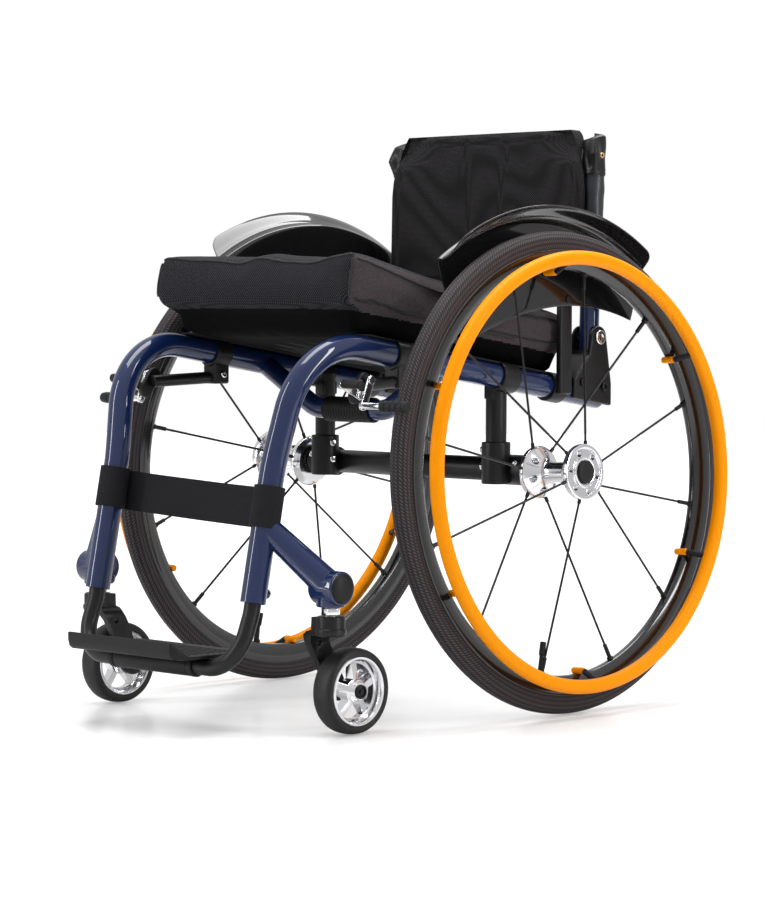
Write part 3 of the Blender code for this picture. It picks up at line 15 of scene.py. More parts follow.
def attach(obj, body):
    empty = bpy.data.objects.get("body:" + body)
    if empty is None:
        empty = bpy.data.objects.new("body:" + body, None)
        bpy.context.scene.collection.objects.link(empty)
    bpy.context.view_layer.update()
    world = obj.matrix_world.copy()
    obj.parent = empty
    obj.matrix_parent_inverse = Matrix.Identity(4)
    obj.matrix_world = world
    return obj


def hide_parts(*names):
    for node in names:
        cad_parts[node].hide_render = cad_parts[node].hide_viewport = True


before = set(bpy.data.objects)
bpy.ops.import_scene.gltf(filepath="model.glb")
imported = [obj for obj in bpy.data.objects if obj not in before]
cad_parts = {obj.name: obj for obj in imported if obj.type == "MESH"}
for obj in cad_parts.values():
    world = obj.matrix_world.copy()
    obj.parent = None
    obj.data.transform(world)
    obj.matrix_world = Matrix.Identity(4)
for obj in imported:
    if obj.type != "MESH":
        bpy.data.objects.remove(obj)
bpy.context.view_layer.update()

DATUM_Y = 0.105
PHOTO_HEIGHT = 898
FLOOR_GLOW = 0.27
FAR_GLOW = 0.8
STUDIO_LIGHT = 0.62
GLOSSY_WHITE = 0.5
WHITE = (1.0, 1.0, 1.0, 1.0)
FOCAL_PIXELS = 3121.99
SENSOR_HEIGHT = 24.0

# Rear wheel
WHEEL_RADIUS = 0.295
CAMBER = radians(2.5)
WHEEL_CENTRE = Vector((0.243, 0.0, WHEEL_RADIUS * cos(CAMBER)))
RIM_INNER_RADIUS = 0.248
HANDRIM_RADIUS = 0.2605
HANDRIM_OFFSET = 0.0374
SPOKE_FIRST = 11.25
TAB_FIRST = 26.25
VALVE_BEARING = -78.0
SPOKE_RADIUS = 0.00145

# Frame, as in the part's source
TUBE_RADIUS = 0.015
TUBE_BORE = 0.0152
PIN_BORE = 0.0053
LEG_FOOT = Vector((0.139, -0.419, 0.153))
LEG_KINK = Vector((0.139, -0.388, 0.31))
FRAME_CORNER = Vector((0.16, -0.357, 0.4605))
FRAME_REAR = Vector((0.1655, 0.15, 0.3836))
LEG_AXIS = (LEG_KINK - LEG_FOOT).normalized()
RAIL_AXIS = (FRAME_REAR - FRAME_CORNER).normalized()
RAIL_PITCH = atan2(FRAME_CORNER.z - FRAME_REAR.z, FRAME_REAR.y - FRAME_CORNER.y)
CASTER_HUB = Vector((0.208, -0.3277, 0.0505))
CASTER_STEM = Vector((0.208, -0.361, 0.0))
HOUSING_Z = 0.172
BACK_PIVOT = Vector((0.0, 0.1356, 0.459))
BACK_LEAN = radians(1.76)
STRAP_FALL = 0.012
CLOTH = 0.0022
CANE_X = FRAME_REAR.x
CANE_RADIUS = 0.0125


# Meshes

def mm(*numbers):
    """Pairs of metres from a run of millimetres."""
    return [(a / 1000.0, b / 1000.0) for a, b in zip(numbers[::2], numbers[1::2])]


def link(name, mesh):
    obj = bpy.data.objects.new(name, mesh)
    bpy.context.scene.collection.objects.link(obj)
    return obj


def from_bmesh(name, bm, fix=True):
    if fix:
        bmesh.ops.recalc_face_normals(bm, faces=bm.faces)
    mesh = bpy.data.meshes.new(name)
    bm.to_mesh(mesh)
    bm.free()
    return link(name, mesh)


def surface(name, rows, wrap_rows=False, wrap_columns=False, caps=False):
    """A surface through rows of points, with UVs in metres along and across them."""
    bm = bmesh.new()
    uv = bm.loops.layers.uv.new("UVMap")
    verts = [[bm.verts.new(point) for point in row] for row in rows]
    count = len(rows)
    width = len(rows[0])
    middle = width // 2
    along = [0.0]
    for index in range(count):
        step = (Vector(rows[(index + 1) % count][middle]) - Vector(rows[index][middle])).length
        along.append(along[-1] + step)
    across = [0.0]
    for index in range(width):
        step = (Vector(rows[0][(index + 1) % width]) - Vector(rows[0][index])).length
        across.append(across[-1] + step)
    for i in range(count if wrap_rows else count - 1):
        for j in range(width if wrap_columns else width - 1):
            corners = ((i, j), (i + 1, j), (i + 1, j + 1), (i, j + 1))
            face = bm.faces.new([verts[a % count][b % width] for a, b in corners])
            for loop, (a, b) in zip(face.loops, corners):
                loop[uv].uv = (along[a], across[b])
    if caps:
        bm.faces.new(verts[0])
        bm.faces.new(verts[-1])
    bmesh.ops.remove_doubles(bm, verts=bm.verts, dist=0.000002)
    return from_bmesh(name, bm)


def wheel_matrix():
    """Wheel axes: x forwards, y up along the wheel, z out along the axle."""
    columns = (
        (0.0, -1.0, 0.0),
        (-sin(CAMBER), 0.0, cos(CAMBER)),
        (cos(CAMBER), 0.0, sin(CAMBER)),
    )
    turn = Matrix(columns).transposed().to_4x4()
    return Matrix.Translation(WHEEL_CENTRE) @ turn


def axis_matrix(centre, axis, up=(0.0, 0.0, 1.0)):
    """A frame at centre with z along axis and y as near to up as it can be."""
    z = Vector(axis).normalized()
    y = (Vector(up) - z * Vector(up).dot(z)).normalized()
    x = y.cross(z)
    return Matrix.Translation(Vector(centre)) @ Matrix((x, y, z)).transposed().to_4x4()


def lathe(name, profile, steps, matrix, closed=True):
    """A turned piece from (radius, height) points round the matrix's z axis."""
    rows = []
    for index in range(steps):
        angle = 2.0 * pi * index / steps
        c, s = cos(angle), sin(angle)
        rows.append([matrix @ Vector((r * c, r * s, h)) for r, h in profile])
    return surface(name, rows, True, closed)


def frames_along(path):
    """Turning frames along a path that don't twist: (point, normal, binormal)."""
    path = [Vector(point) for point in path]
    last = len(path) - 1
    tangents = [(path[min(index + 1, last)] - path[max(index - 1, 0)]).normalized()
                for index in range(last + 1)]
    start = Vector((1.0, 0.0, 0.0)) if abs(tangents[0].x) < 0.8 else Vector((0.0, 0.0, 1.0))
    normal = (start - tangents[0] * start.dot(tangents[0])).normalized()
    out = []
    for point, tangent in zip(path, tangents):
        normal = (normal - tangent * normal.dot(tangent)).normalized()
        out.append((point, normal, tangent.cross(normal)))
    return out


def ring(radius, sides):
    steps = [2.0 * pi * index / sides for index in range(sides)]
    return [(radius * cos(a), radius * sin(a)) for a in steps]


def tube(name, path, radius, sides):
    """A round bar carried along a path."""
    section = ring(radius, sides)
    rows = [[point + normal * a + side * b for a, b in section]
            for point, normal, side in frames_along(path)]
    return surface(name, rows, False, True, True)


def rod(name, start, end, radius, sides=32, round_over=0.0, end_radius=None):
    """A bar from start to end with its edges rounded over."""
    start = Vector(start)
    end = Vector(end)
    length = (end - start).length
    far = radius if end_radius is None else end_radius
    lip = min(round_over, radius * 0.9, length * 0.45)
    profile = [(0.0, 0.0)]
    steps = 4 if lip else 1
    for index in range(steps + 1):
        angle = pi / 2.0 * index / steps
        profile.append((radius - lip + lip * sin(angle), lip - lip * cos(angle)))
    for index in range(steps + 1):
        angle = pi / 2.0 * index / steps
        profile.append((far - lip + lip * cos(angle), length - lip + lip * sin(angle)))
    profile.append((0.0, length))
    return lathe(name, profile, sides, axis_matrix(start, end - start, (0.31, 0.2, 1.0)), False)


def pin(name, centre, inner, outer, radius, sides=28, round_over=0.0006):
    """A rod along x through a (y, z) centre, from one face to another."""
    return rod(name, (inner, *centre), (outer, *centre), radius, sides, round_over)


def slab(name, outline, thickness, matrix, round_over=0.0):
    """A flat outline made thick evenly to both sides, with its edges rounded over."""
    bm = bmesh.new()
    verts = [bm.verts.new((x, y, -thickness / 2.0)) for x, y in outline]
    base = bm.faces.new(verts)
    top = bmesh.ops.extrude_face_region(bm, geom=[base])
    moved = [item for item in top["geom"] if isinstance(item, bmesh.types.BMVert)]
    bmesh.ops.translate(bm, verts=moved, vec=(0.0, 0.0, thickness))
    bmesh.ops.transform(bm, matrix=matrix, verts=bm.verts)
    obj = from_bmesh(name, bm)
    if round_over:
        soften(obj, round_over)
    return obj


def block(name, low, high, round_over=0.0):
    """A box between two corners with its edges rounded over."""
    low = Vector(low)
    high = Vector(high)
    bm = bmesh.new()
    bmesh.ops.create_cube(bm, size=1.0)
    size = Matrix.Diagonal((*(high - low), 1.0))
    bmesh.ops.transform(bm, matrix=Matrix.Translation((low + high) / 2.0) @ size, verts=bm.verts)
    obj = from_bmesh(name, bm)
    if round_over:
        soften(obj, round_over)
    return obj


def soften(obj, width, segments=3, angle=32.0):
    edge = obj.modifiers.new("edge", "BEVEL")
    edge.width = width
    edge.segments = segments
    edge.limit_method = "ANGLE"
    edge.angle_limit = radians(angle)
    edge.use_clamp_overlap = True
    return obj


def thicken(obj, thickness, offset=0.0):
    wall = obj.modifiers.new("wall", "SOLIDIFY")
    wall.thickness = thickness
    wall.offset = offset


def settle(obj, sharp=30.0):
    """Apply the modifiers and shade smooth up to an angle."""
    graph = bpy.context.evaluated_depsgraph_get()
    mesh = bpy.data.meshes.new_from_object(obj.evaluated_get(graph))
    old = obj.data
    obj.modifiers.clear()
    obj.data = mesh
    bpy.data.meshes.remove(old)
    mesh.shade_smooth()
    mesh.set_sharp_from_angle(angle=radians(sharp))
    return obj


def combine(obj, tool, operation):
    """Join a tool to obj, or cut it away, and drop the tool."""
    settle(obj)
    settle(tool)
    change = obj.modifiers.new("tool", "BOOLEAN")
    change.operation = operation
    change.solver = "EXACT"
    change.object = tool
    settle(obj)
    bpy.data.objects.remove(tool, do_unlink=True)
    return obj


def cut(obj, tool):
    return combine(obj, tool, "DIFFERENCE")


def unite(obj, tool):
    return combine(obj, tool, "UNION")


def gather(name, objects):
    """Several objects as the loose shells of one mesh."""
    bm = bmesh.new()
    for obj in objects:
        settle(obj)
        bm.from_mesh(obj.data)
        bpy.data.objects.remove(obj, do_unlink=True)
    return from_bmesh(name, bm, fix=False)


def fillet(points, bends, step=radians(4.0)):
    """The path with each inner corner rounded to its bend radius."""
    points = [Vector(point) for point in points]
    path = [points[0]]
    for before, corner, after, bend in zip(points, points[1:], points[2:], bends):
        back = (before - corner).normalized()
        ahead = (after - corner).normalized()
        half = back.angle(ahead) / 2.0
        turn = pi - 2.0 * half
        middle = corner + (back + ahead).normalized() * bend / sin(half)
        first = corner + back * bend / tan(half) - middle
        last = corner + ahead * bend / tan(half) - middle
        count = max(2, ceil(turn / step))
        for index in range(count + 1):
            angle = turn * index / count
            spoke = first * sin(turn - angle) + last * sin(angle)
            path.append(middle + spoke / sin(turn))
    path.append(points[-1])
    return path


def arc(centre, radius, start, end, count):
    steps = [radians(start + (end - start) * index / count) for index in range(count + 1)]
    return [(centre[0] + radius * cos(a), centre[1] + radius * sin(a)) for a in steps]


def rail_point(y):
    return FRAME_CORNER + RAIL_AXIS * (y - FRAME_CORNER.y) / RAIL_AXIS.y


def leg_point(z):
    return LEG_FOOT + LEG_AXIS * (z - LEG_FOOT.z) / LEG_AXIS.z


def rail_bore(obj, middle, reach, sides=48):
    """Cut the side tube's bore, which has a little play, out of a piece clamped on it."""
    return cut(obj, rod("bore", middle - reach, middle + reach, TUBE_BORE, sides))


PLANE_YZ = Matrix(((0, 0, 1, 0), (1, 0, 0, 0), (0, 1, 0, 0), (0, 0, 0, 1)))
PLANE_XZ = Matrix(((1, 0, 0, 0), (0, 0, -1, 0), (0, 1, 0, 0), (0, 0, 0, 1)))
WHEEL = wheel_matrix()
SEAT = Matrix.Translation((0.0, 0.0, rail_point(0.0).z)) @ Matrix.Rotation(-RAIL_PITCH, 4, "X")
BACK = Matrix.Translation(BACK_PIVOT) @ Matrix.Rotation(-BACK_LEAN, 4, "X")


# Putting pieces on the model: place() looks up a slot name for the material, which may have another
# name, but keeps it nowhere

SLOTS = {"black_gloss": "black_satin", "caster_rubber": "tyre_rubber"}
CLOTHS = ("spacer_mesh", "back_cloth", "black_vinyl", "cane_sleeve", "thread", "piping",
          "brass_eyelet")
SLOTS.update(dict.fromkeys(CLOTHS, "black_fabric"))


def place(obj, body, material, *nodes, sharp=30.0, slot=None):
    settle(obj, sharp)
    obj.data.transform(Matrix.Translation((0.0, DATUM_Y, 0.0)))
    obj.data.materials.clear()
    obj.data.materials.append(MATERIALS[material])
    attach(obj, body)
    slot = slot or SLOTS.get(material, material)
    if nodes:
        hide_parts(*nodes)
    return obj


def pair(obj, body, material, *nodes, sharp=30.0, slot=None):
    """Place a left piece and its mirror image; names that end in _ get L or R."""
    settle(obj, sharp)
    twin = link(obj.name + "_R", obj.data.copy())
    twin.data.transform(Matrix.Scale(-1.0, 4, (1.0, 0.0, 0.0)))
    twin.data.flip_normals()
    obj.name += "_L"
    for piece, tag in ((obj, "L"), (twin, "R")):
        where = body + tag if body.endswith("_") else body
        names = [node + tag for node in nodes]
        place(piece, where, material, *names, sharp=sharp, slot=slot)
    return obj, twin


# Materials: every one is procedural, in metres, from object or UV coordinates

MATERIALS = {}


def new_node(tree, kind, *values, **settings):
    """A shader node with its first inputs and its settings filled in."""
    node = tree.nodes.new("ShaderNode" + kind)
    for key, value in settings.items():
        setattr(node, key, value)
    for socket, value in zip(node.inputs, values):
        socket.default_value = value
    return node


class Finish:
    """A Principled material with short calls for the patterns used here.

    tint, rough and grain put noise into the colour, the roughness and the relief. Each of them
    ends with the noise's feature size in metres and, where it isn't 3, its detail.
    """

    def __init__(self, name, colour, roughness, metallic=0.0, specular=0.5, coat=0.0,
                 coat_roughness=0.03, tint=None, rough=None, grain=None):
        MATERIALS[name] = material = bpy.data.materials.new(name)
        material.use_nodes = True
        self.tree = material.node_tree
        self.inputs = self.tree.nodes["Principled BSDF"].inputs
        self.colour = (*colour, 1.0)
        values = {"Base Color": self.colour, "Roughness": roughness, "Metallic": metallic,
                  "Specular IOR Level": specular, "Coat Weight": coat,
                  "Coat Roughness": coat_roughness}
        for socket, value in values.items():
            self.inputs[socket].default_value = value
        if tint:
            other, *size = tint
            self.mix(self.noise(*size), other)
        if rough:
            low, high, *size = rough
            self.wire(self.spread(self.noise(*size), 0.0, 1.0, low, high), self.inputs["Roughness"])
        if grain:
            depth, strength, *size = grain
            self.bump(self.noise(*size), depth, strength)

    def node(self, kind, **settings):
        return new_node(self.tree, kind, **settings)

    def wire(self, source, target):
        self.tree.links.new(source, target)

    def maths(self, operation, value, *others):
        """The values taken together from the left; each is a number or a socket."""
        for other in others or (0.0,):
            node = self.node("Math", operation=operation)
            for socket, given in zip(node.inputs, (value, other)):
                if isinstance(given, float):
                    socket.default_value = given
                else:
                    self.wire(given, socket)
            value = node.outputs[0]
        return value

    def spread(self, value, *limits):
        node = new_node(self.tree, "MapRange", 0.0, *limits)
        self.wire(value, node.inputs[0])
        return node.outputs[0]

    def noise(self, pitch, detail=3.0):
        node = self.node("TexNoise")
        node.inputs["Scale"].default_value = 1.0 / pitch
        node.inputs["Detail"].default_value = detail
        self.wire(self.node("TexCoord").outputs["Object"], node.inputs["Vector"])
        return node.outputs["Fac"]

    def mix(self, factor, other):
        """Base colour that runs from the finish's own to another."""
        node = self.node("Mix", data_type="RGBA")
        self.wire(factor, node.inputs[0])
        node.inputs[6].default_value = self.colour
        node.inputs[7].default_value = (*other, 1.0)
        self.wire(node.outputs[2], self.inputs["Base Color"])

    def bump(self, height, depth, strength):
        node = self.node("Bump")
        node.inputs["Strength"].default_value = strength
        node.inputs["Distance"].default_value = depth
        self.wire(height, node.inputs["Height"])
        self.wire(node.outputs["Normal"], self.inputs["Normal"])

    def wave(self, coordinate, pitch, offset=0.0):
        """A sine of the given pitch along a coordinate, from 0 to 1."""
        angle = self.maths("MULTIPLY", coordinate, 2.0 * pi / pitch)
        sine = self.maths("SINE", self.maths("ADD", angle, offset))
        return self.spread(sine, -1.0, 1.0, 0.0, 1.0)

    def split(self, kind="Object"):
        node = self.node("SeparateXYZ")
        self.wire(self.node("TexCoord").outputs[kind], node.inputs[0])
        return node.outputs

    def lattice(self, pitch):
        """Rows of dots on any surface: crossed waves along the three axes."""
        x, y, z = self.split()
        sums = (self.maths("ADD", x, y, z), self.maths("SUBTRACT", x, y, z),
                self.maths("SUBTRACT", self.maths("ADD", x, y), z))
        return self.maths("MULTIPLY", *(self.wave(value, pitch * 1.5) for value in sums))

    def dots(self, pitch):
        """Rows of dots on an upright or a level face that looks to the front."""
        x, y, z = self.split()
        along = self.maths("MULTIPLY", self.maths("ADD", z, y), 0.9)
        return self.maths("MULTIPLY", self.wave(self.maths("ADD", x, along), pitch),
                          self.wave(self.maths("SUBTRACT", x, along), pitch))

    def weave(self, pitch):
        """Plain weave in UV space: two thread directions that pass over in turn."""
        u, v, _ = self.split("UV")
        over = self.wave(self.maths("ADD", u, v), pitch * 2.0)
        under = self.maths("SUBTRACT", 1.0, over)
        return self.maths("ADD", self.maths("MULTIPLY", self.wave(u, pitch), over),
                          self.maths("MULTIPLY", self.wave(v, pitch), under))


def make_materials():
    Finish("navy_paint", (0.003, 0.013, 0.066), 0.45, specular=0.1, coat=1.0, coat_roughness=0.02,
           tint=((0.004, 0.017, 0.08), 0.0006, 0.0), grain=(0.0002, 0.08, 0.03, 1.0))
    Finish("black_satin", (0.006, 0.006, 0.007), 0.34, specular=0.3, rough=(0.3, 0.46, 0.004),
           grain=(0.00006, 0.4, 0.0012, 2.0))
    Finish("black_gloss", (0.007, 0.007, 0.008), 0.16, coat=0.6, coat_roughness=0.05,
           rough=(0.12, 0.24, 0.02))
    Finish("black_plastic", (0.006, 0.006, 0.007), 0.48, specular=0.25, rough=(0.42, 0.58, 0.003),
           grain=(0.00008, 0.35, 0.0006, 2.0))
    Finish("orange_coat", (0.95, 0.31, 0.0005), 0.38, specular=0.08,
           tint=((0.93, 0.29, 0.0005), 0.05, 2.0), grain=(0.00004, 0.3, 0.0015, 2.0))
    Finish("polished_alloy", (0.78, 0.78, 0.8), 0.14, 1.0, rough=(0.07, 0.2, 0.002, 4.0))
    Finish("chrome", (0.8, 0.8, 0.81), 0.08, 1.0, rough=(0.05, 0.14, 0.004))
    Finish("brass_eyelet", (0.8, 0.52, 0.26), 0.22, 1.0, rough=(0.15, 0.3, 0.001))
    Finish("caster_rubber", (0.012, 0.011, 0.012), 0.46, specular=0.3, rough=(0.4, 0.54, 0.01))
    Finish("black_vinyl", (0.007, 0.007, 0.008), 0.36, specular=0.3, rough=(0.26, 0.42, 0.006),
           grain=(0.0001, 0.3, 0.0016))
    Finish("cane_sleeve", (0.007, 0.009, 0.016), 0.42, coat=0.1, rough=(0.34, 0.5, 0.01))
    # Plain cloth for the cushion's underside, darker and duller than the rest: partly its own colour,
    # partly painted shade for the recess under the front edge.
    Finish("shaded_under_cloth", (0.003, 0.003, 0.0035), 0.9, specular=0.05, grain=(0.0006, 0.6, 0.004, 2.0))
    Finish("thread", (0.016, 0.016, 0.018), 0.8, tint=((0.03, 0.03, 0.032), 0.001))
    Finish("piping", (0.008, 0.008, 0.009), 0.5, specular=0.35, grain=(0.0002, 0.5, 0.0008, 2.0))

    rubber = Finish("tyre_rubber", (0.014, 0.011, 0.0125), 0.62, specular=0.3)
    u, v, _ = rubber.split("UV")
    slant = rubber.wave(rubber.maths("ADD", u, rubber.maths("MULTIPLY", v, 0.9)), 0.0042)
    tread = rubber.maths("MULTIPLY", rubber.spread(slant, 0.35, 0.6, 0.0, 1.0),
                         rubber.wave(v, 0.0056, 1.2))
    # The raised tread is painted lighter and the grooves darker: painted shade in the grooves, on top of
    # the bump.
    rubber.mix(tread, (0.085, 0.067, 0.075))
    rubber.bump(tread, 0.0009, 0.9)

    carbon = Finish("carbon_gloss", (0.005, 0.005, 0.0055), 0.2, specular=0.1, coat=1.0,
                    rough=(0.16, 0.22, 0.03))
    u, v, _ = carbon.split("UV")
    twill = carbon.maths("MULTIPLY", carbon.wave(carbon.maths("ADD", u, v), 0.0042), 0.8)
    fibre = carbon.maths("MULTIPLY", carbon.wave(u, 0.0021), 0.2)
    carbon.mix(carbon.maths("ADD", twill, fibre), (0.01, 0.01, 0.011))

    mesh_cloth = Finish("spacer_mesh", (0.004, 0.004, 0.0048), 0.75, specular=0.15)
    dots = mesh_cloth.dots(0.0034)
    mesh_cloth.mix(mesh_cloth.spread(dots, 0.15, 0.6, 0.0, 1.0), (0.046, 0.045, 0.056))
    mesh_cloth.bump(dots, 0.001, 0.8)

    side_cloth = Finish("side_cloth", (0.03, 0.025, 0.028), 0.85, specular=0.1,
                        tint=((0.078, 0.064, 0.07), 0.0028, 4.0))
    side_cloth.bump(side_cloth.lattice(0.0011), 0.0003, 0.5)

    back_cloth = Finish("back_cloth", (0.009, 0.008, 0.009), 0.8, specular=0.15)
    fine = back_cloth.lattice(0.0021)
    back_cloth.mix(back_cloth.spread(fine, 0.15, 0.6, 0.0, 1.0), (0.078, 0.073, 0.078))
    back_cloth.bump(fine, 0.0007, 0.7)

    webbing = Finish("black_webbing", (0.009, 0.009, 0.011), 0.8, specular=0.1)
    ribs = webbing.weave(0.0016)
    webbing.mix(ribs, (0.022, 0.022, 0.024))
    webbing.bump(ribs, 0.0004, 0.6)

    # A pale grey with lighter dots, made as a painted reflection of a lamp on the side guards' gloss; no
    # piece uses it.
    strip = Finish("painted_reflection_strip", (0.5, 0.46, 0.45), 0.35, 0.2)
    strip.mix(strip.lattice(0.002), (0.62, 0.58, 0.57))


make_materials()


# Rear wheels

def wheel_point(radius, bearing, across):
    """A point of the left wheel: bearing in degrees from the front, upwards."""
    angle = radians(bearing)
    return WHEEL @ Vector((radius * cos(angle), radius * sin(angle), across))


def wheel_rod(name, bearing, start, end, radius, sides, round_over=0.0):
    """A rod of the left wheel between two (radius, offset) places on one bearing."""
    ends = [wheel_point(place[0], bearing, place[1]) for place in (start, end)]
    return rod(name, *ends, radius, sides, round_over)


def make_tyre():
    half = 0.0125
    belly = WHEEL_RADIUS - half
    section = [(belly + half * cos(a), half * sin(a)) for a in
               [radians(-112.0 + 7.0 * index) for index in range(33)]]
    bead = mm(273.5, 10.7, 272.2, 10.2, 269, 9, 266.8, 8)
    profile = [(r, -h) for r, h in reversed(bead)] + section + bead
    tyre = lathe("tyre", profile, 288, WHEEL)
    pair(tyre, "rear_wheel_", "tyre_rubber", "rear_tyre_", sharp=60.0)
    line = lathe("bead_line", [(0.2742 + x, 0.0104 + h) for x, h in ring(0.0007, 8)], 192, WHEEL)
    pair(line, "rear_wheel_", "thread", sharp=60.0, slot="tyre_rubber")


def make_rim():
    wall = mm(
        270.8, 10.8, 271.6, 11.2, 272.2, 10.8, 272.2, 9.8, 270, 9, 266.5, 7.2, 265, 0, 266.5, -7.2,
        270, -9, 272.2, -9.8, 272.2, -10.8, 271.6, -11.2, 270.8, -10.8, 269, -11, 265, -11, 261, -10.6,
        256, -9.2, 251.5, -7, 249, -5, 248.1, -2.5, 248, 0, 248.1, 2.5, 249, 5, 251.5, 7, 256, 9.2,
        261, 10.6, 265, 11, 269, 11)
    rim = lathe("rim", wall, 240, WHEEL)
    pair(rim, "rear_wheel_", "black_gloss", "rear_rim_", sharp=50.0)
    stem = wheel_rod("valve", VALVE_BEARING, (0.2485, 0.0), (0.214, 0.0), 0.0028, 16, 0.0008)
    cap = wheel_rod("valve_cap", VALVE_BEARING, (0.226, 0.0), (0.209, 0.0), 0.0038, 16, 0.001)
    pair(gather("valve", [stem, cap]), "rear_wheel_", "black_plastic")


def make_handrim():
    section = [(HANDRIM_RADIUS + a, HANDRIM_OFFSET + b) for a, b in ring(0.00875, 28)]
    hoop = lathe("push_ring", section, 288, WHEEL)
    pair(hoop, "rear_wheel_", "orange_coat", "handrim_", sharp=60.0)
    foot = RIM_INNER_RADIUS - 0.0035
    head = (HANDRIM_RADIUS - 0.004, HANDRIM_OFFSET - 0.005)
    pads = []
    stands = []
    for index in range(6):
        bearing = TAB_FIRST + 60.0 * index
        pads.append(wheel_rod("pad", bearing, (foot, -0.006), (foot, 0.012), 0.0042, 16, 0.0015))
        stands.append(wheel_rod("stand", bearing, (foot, 0.012), head, 0.0038, 16, 0.001))
    pair(gather("push_ring_pad", pads), "rear_wheel_", "orange_coat")
    pair(gather("push_ring_stand", stands), "rear_wheel_", "black_plastic")


def make_hub():
    profile = mm(
        6.2, 29, 15, 29, 15.2, 37.2, 16, 37.8, 17.8, 37.8, 18.8, 37, 19.2, 35.2, 19.8, 34.6, 28.2, 34.6,
        28.8, 35.2, 29.2, 36.6, 30, 37, 33, 37, 34.2, 36.4, 34.5, 35, 34.5, 30.5, 34.1, 29.2, 32.8, 28.8,
        24, 28.6, 20.5, 27.8, 17.8, 25, 15, 20, 13.6, 15, 13.2, 8, 13, -10, 13.4, -18, 15, -23, 19, -27,
        30, -34, 32.5, -36.2, 33, -38, 33, -41.2, 32.2, -42.8, 28.5, -46, 27, -47.8, 6.2, -48)
    hub = lathe("hub", profile, 96, WHEEL)
    for index in range(6):
        bearing = SPOKE_FIRST + 60.0 * index
        cut(hub, wheel_rod("window", bearing, (0.024, 0.02), (0.024, 0.045), 0.0044, 24))
        inner = wheel_rod("window", bearing + 30.0, (0.0225, -0.0405), (0.0225, -0.01), 0.0045, 24)
        cut(hub, inner)
    pair(hub, "rear_wheel_", "polished_alloy", "rear_hub_", sharp=38.0)

    # the spokes go to the outer flange and the inner flange in turn
    spokes = []
    for index in range(12):
        bearing = SPOKE_FIRST + 30.0 * index
        root = wheel_point(0.03, bearing, 0.0328 if index % 2 else -0.039)
        tip = wheel_point(RIM_INNER_RADIUS - 0.0005, bearing, 0.0)
        along = (tip - root).normalized()
        neck = tip - along * 0.017
        spokes.append(rod("spoke", root, neck, SPOKE_RADIUS, 12))
        spokes.append(rod("nipple", neck - along * 0.003, tip, 0.0026, 12, 0.0008))
        spokes.append(rod("root", root, root + along * 0.009, 0.0023, 12, 0.0008))
        spokes.append(rod("seat", tip - along * 0.003, tip + along * 0.001, 0.004, 16, 0.001))
    pair(gather("spokes", spokes), "rear_wheel_", "black_satin")


def make_button():
    profile = mm(0, 40.8, 6, 40.7, 11, 40.2, 13.4, 39.4, 14.3, 38.2, 14.5, 36.8, 14.5, 36, 0, 36)
    button = lathe("hub_cap", profile, 64, WHEEL, False)
    pair(button, "axle_button_", "black_plastic", "axle_button_", sharp=50.0)


# Casters

def make_caster_wheel():
    matrix = axis_matrix(CASTER_HUB, (1.0, 0.0, 0.0))
    side = mm(41.2, 13.6, 42.2, 14.4, 44, 14.9, 46.2, 14.6, 48, 13.4, 49.2, 11.2, 49.9, 8, 50.3, 4.5)
    tread = side + [(0.0505, 0.0)] + [(r, -h) for r, h in reversed(side)]
    tyre = lathe("caster_tyre", tread, 128, matrix)
    pair(tyre, "caster_wheel_", "caster_rubber", "caster_tyre_", sharp=60.0)

    profile = mm(
        41.1, 13, 41.1, -13, 40, -14.2, 37.8, -14.2, 36.6, -13, 35, -6, 33.5, -4.5, 13, -5, 11.2, -8,
        11, -19, 4.3, -19.2, 4.3, 15.8, 9.6, 15.8, 10.8, 14.6, 11.4, 11, 14, 8.5, 33, 4, 35, 5.6,
        36.6, 13, 37.8, 14.2, 40, 14.2)
    wheel = lathe("caster_rim", profile, 120, matrix)
    outer, inner = 0.0325, 0.015
    outer_spoke, inner_spoke = 0.0042, 0.0038
    wide = 36.0 - degrees(asin(outer_spoke / outer))
    narrow = 36.0 - degrees(asin(inner_spoke / inner))
    for index in range(5):
        middle = 90.0 + 72.0 * (index + 0.5)
        outline = arc((0.0, 0.0), outer, middle - wide, middle + wide, 14)
        outline += arc((0.0, 0.0), inner, middle + narrow, middle - narrow, 6)
        window = slab("window", outline, 0.05, Matrix.Translation(CASTER_HUB) @ PLANE_YZ)
        cut(wheel, window)
    soften(wheel, 0.0006, 2, 40.0)
    pair(wheel, "caster_wheel_", "polished_alloy", "caster_wheel_", sharp=38.0)

    cap = mm(
        0, 19, 2.8, 18.8, 3, 16.8, 5.6, 16.6, 6.2, 18.6, 7.2, 19, 8.2, 18.2, 8.6, 16, 4.2, 16, 4.2, -30,
        9, -30.3, 9, -32.5, 7.6, -33.2, 0, -33.2)
    bolt = lathe("caster_bolt", cap, 32, matrix, False)
    pair(bolt, "caster_fork_", "black_satin", "caster_bolt_", sharp=35.0)


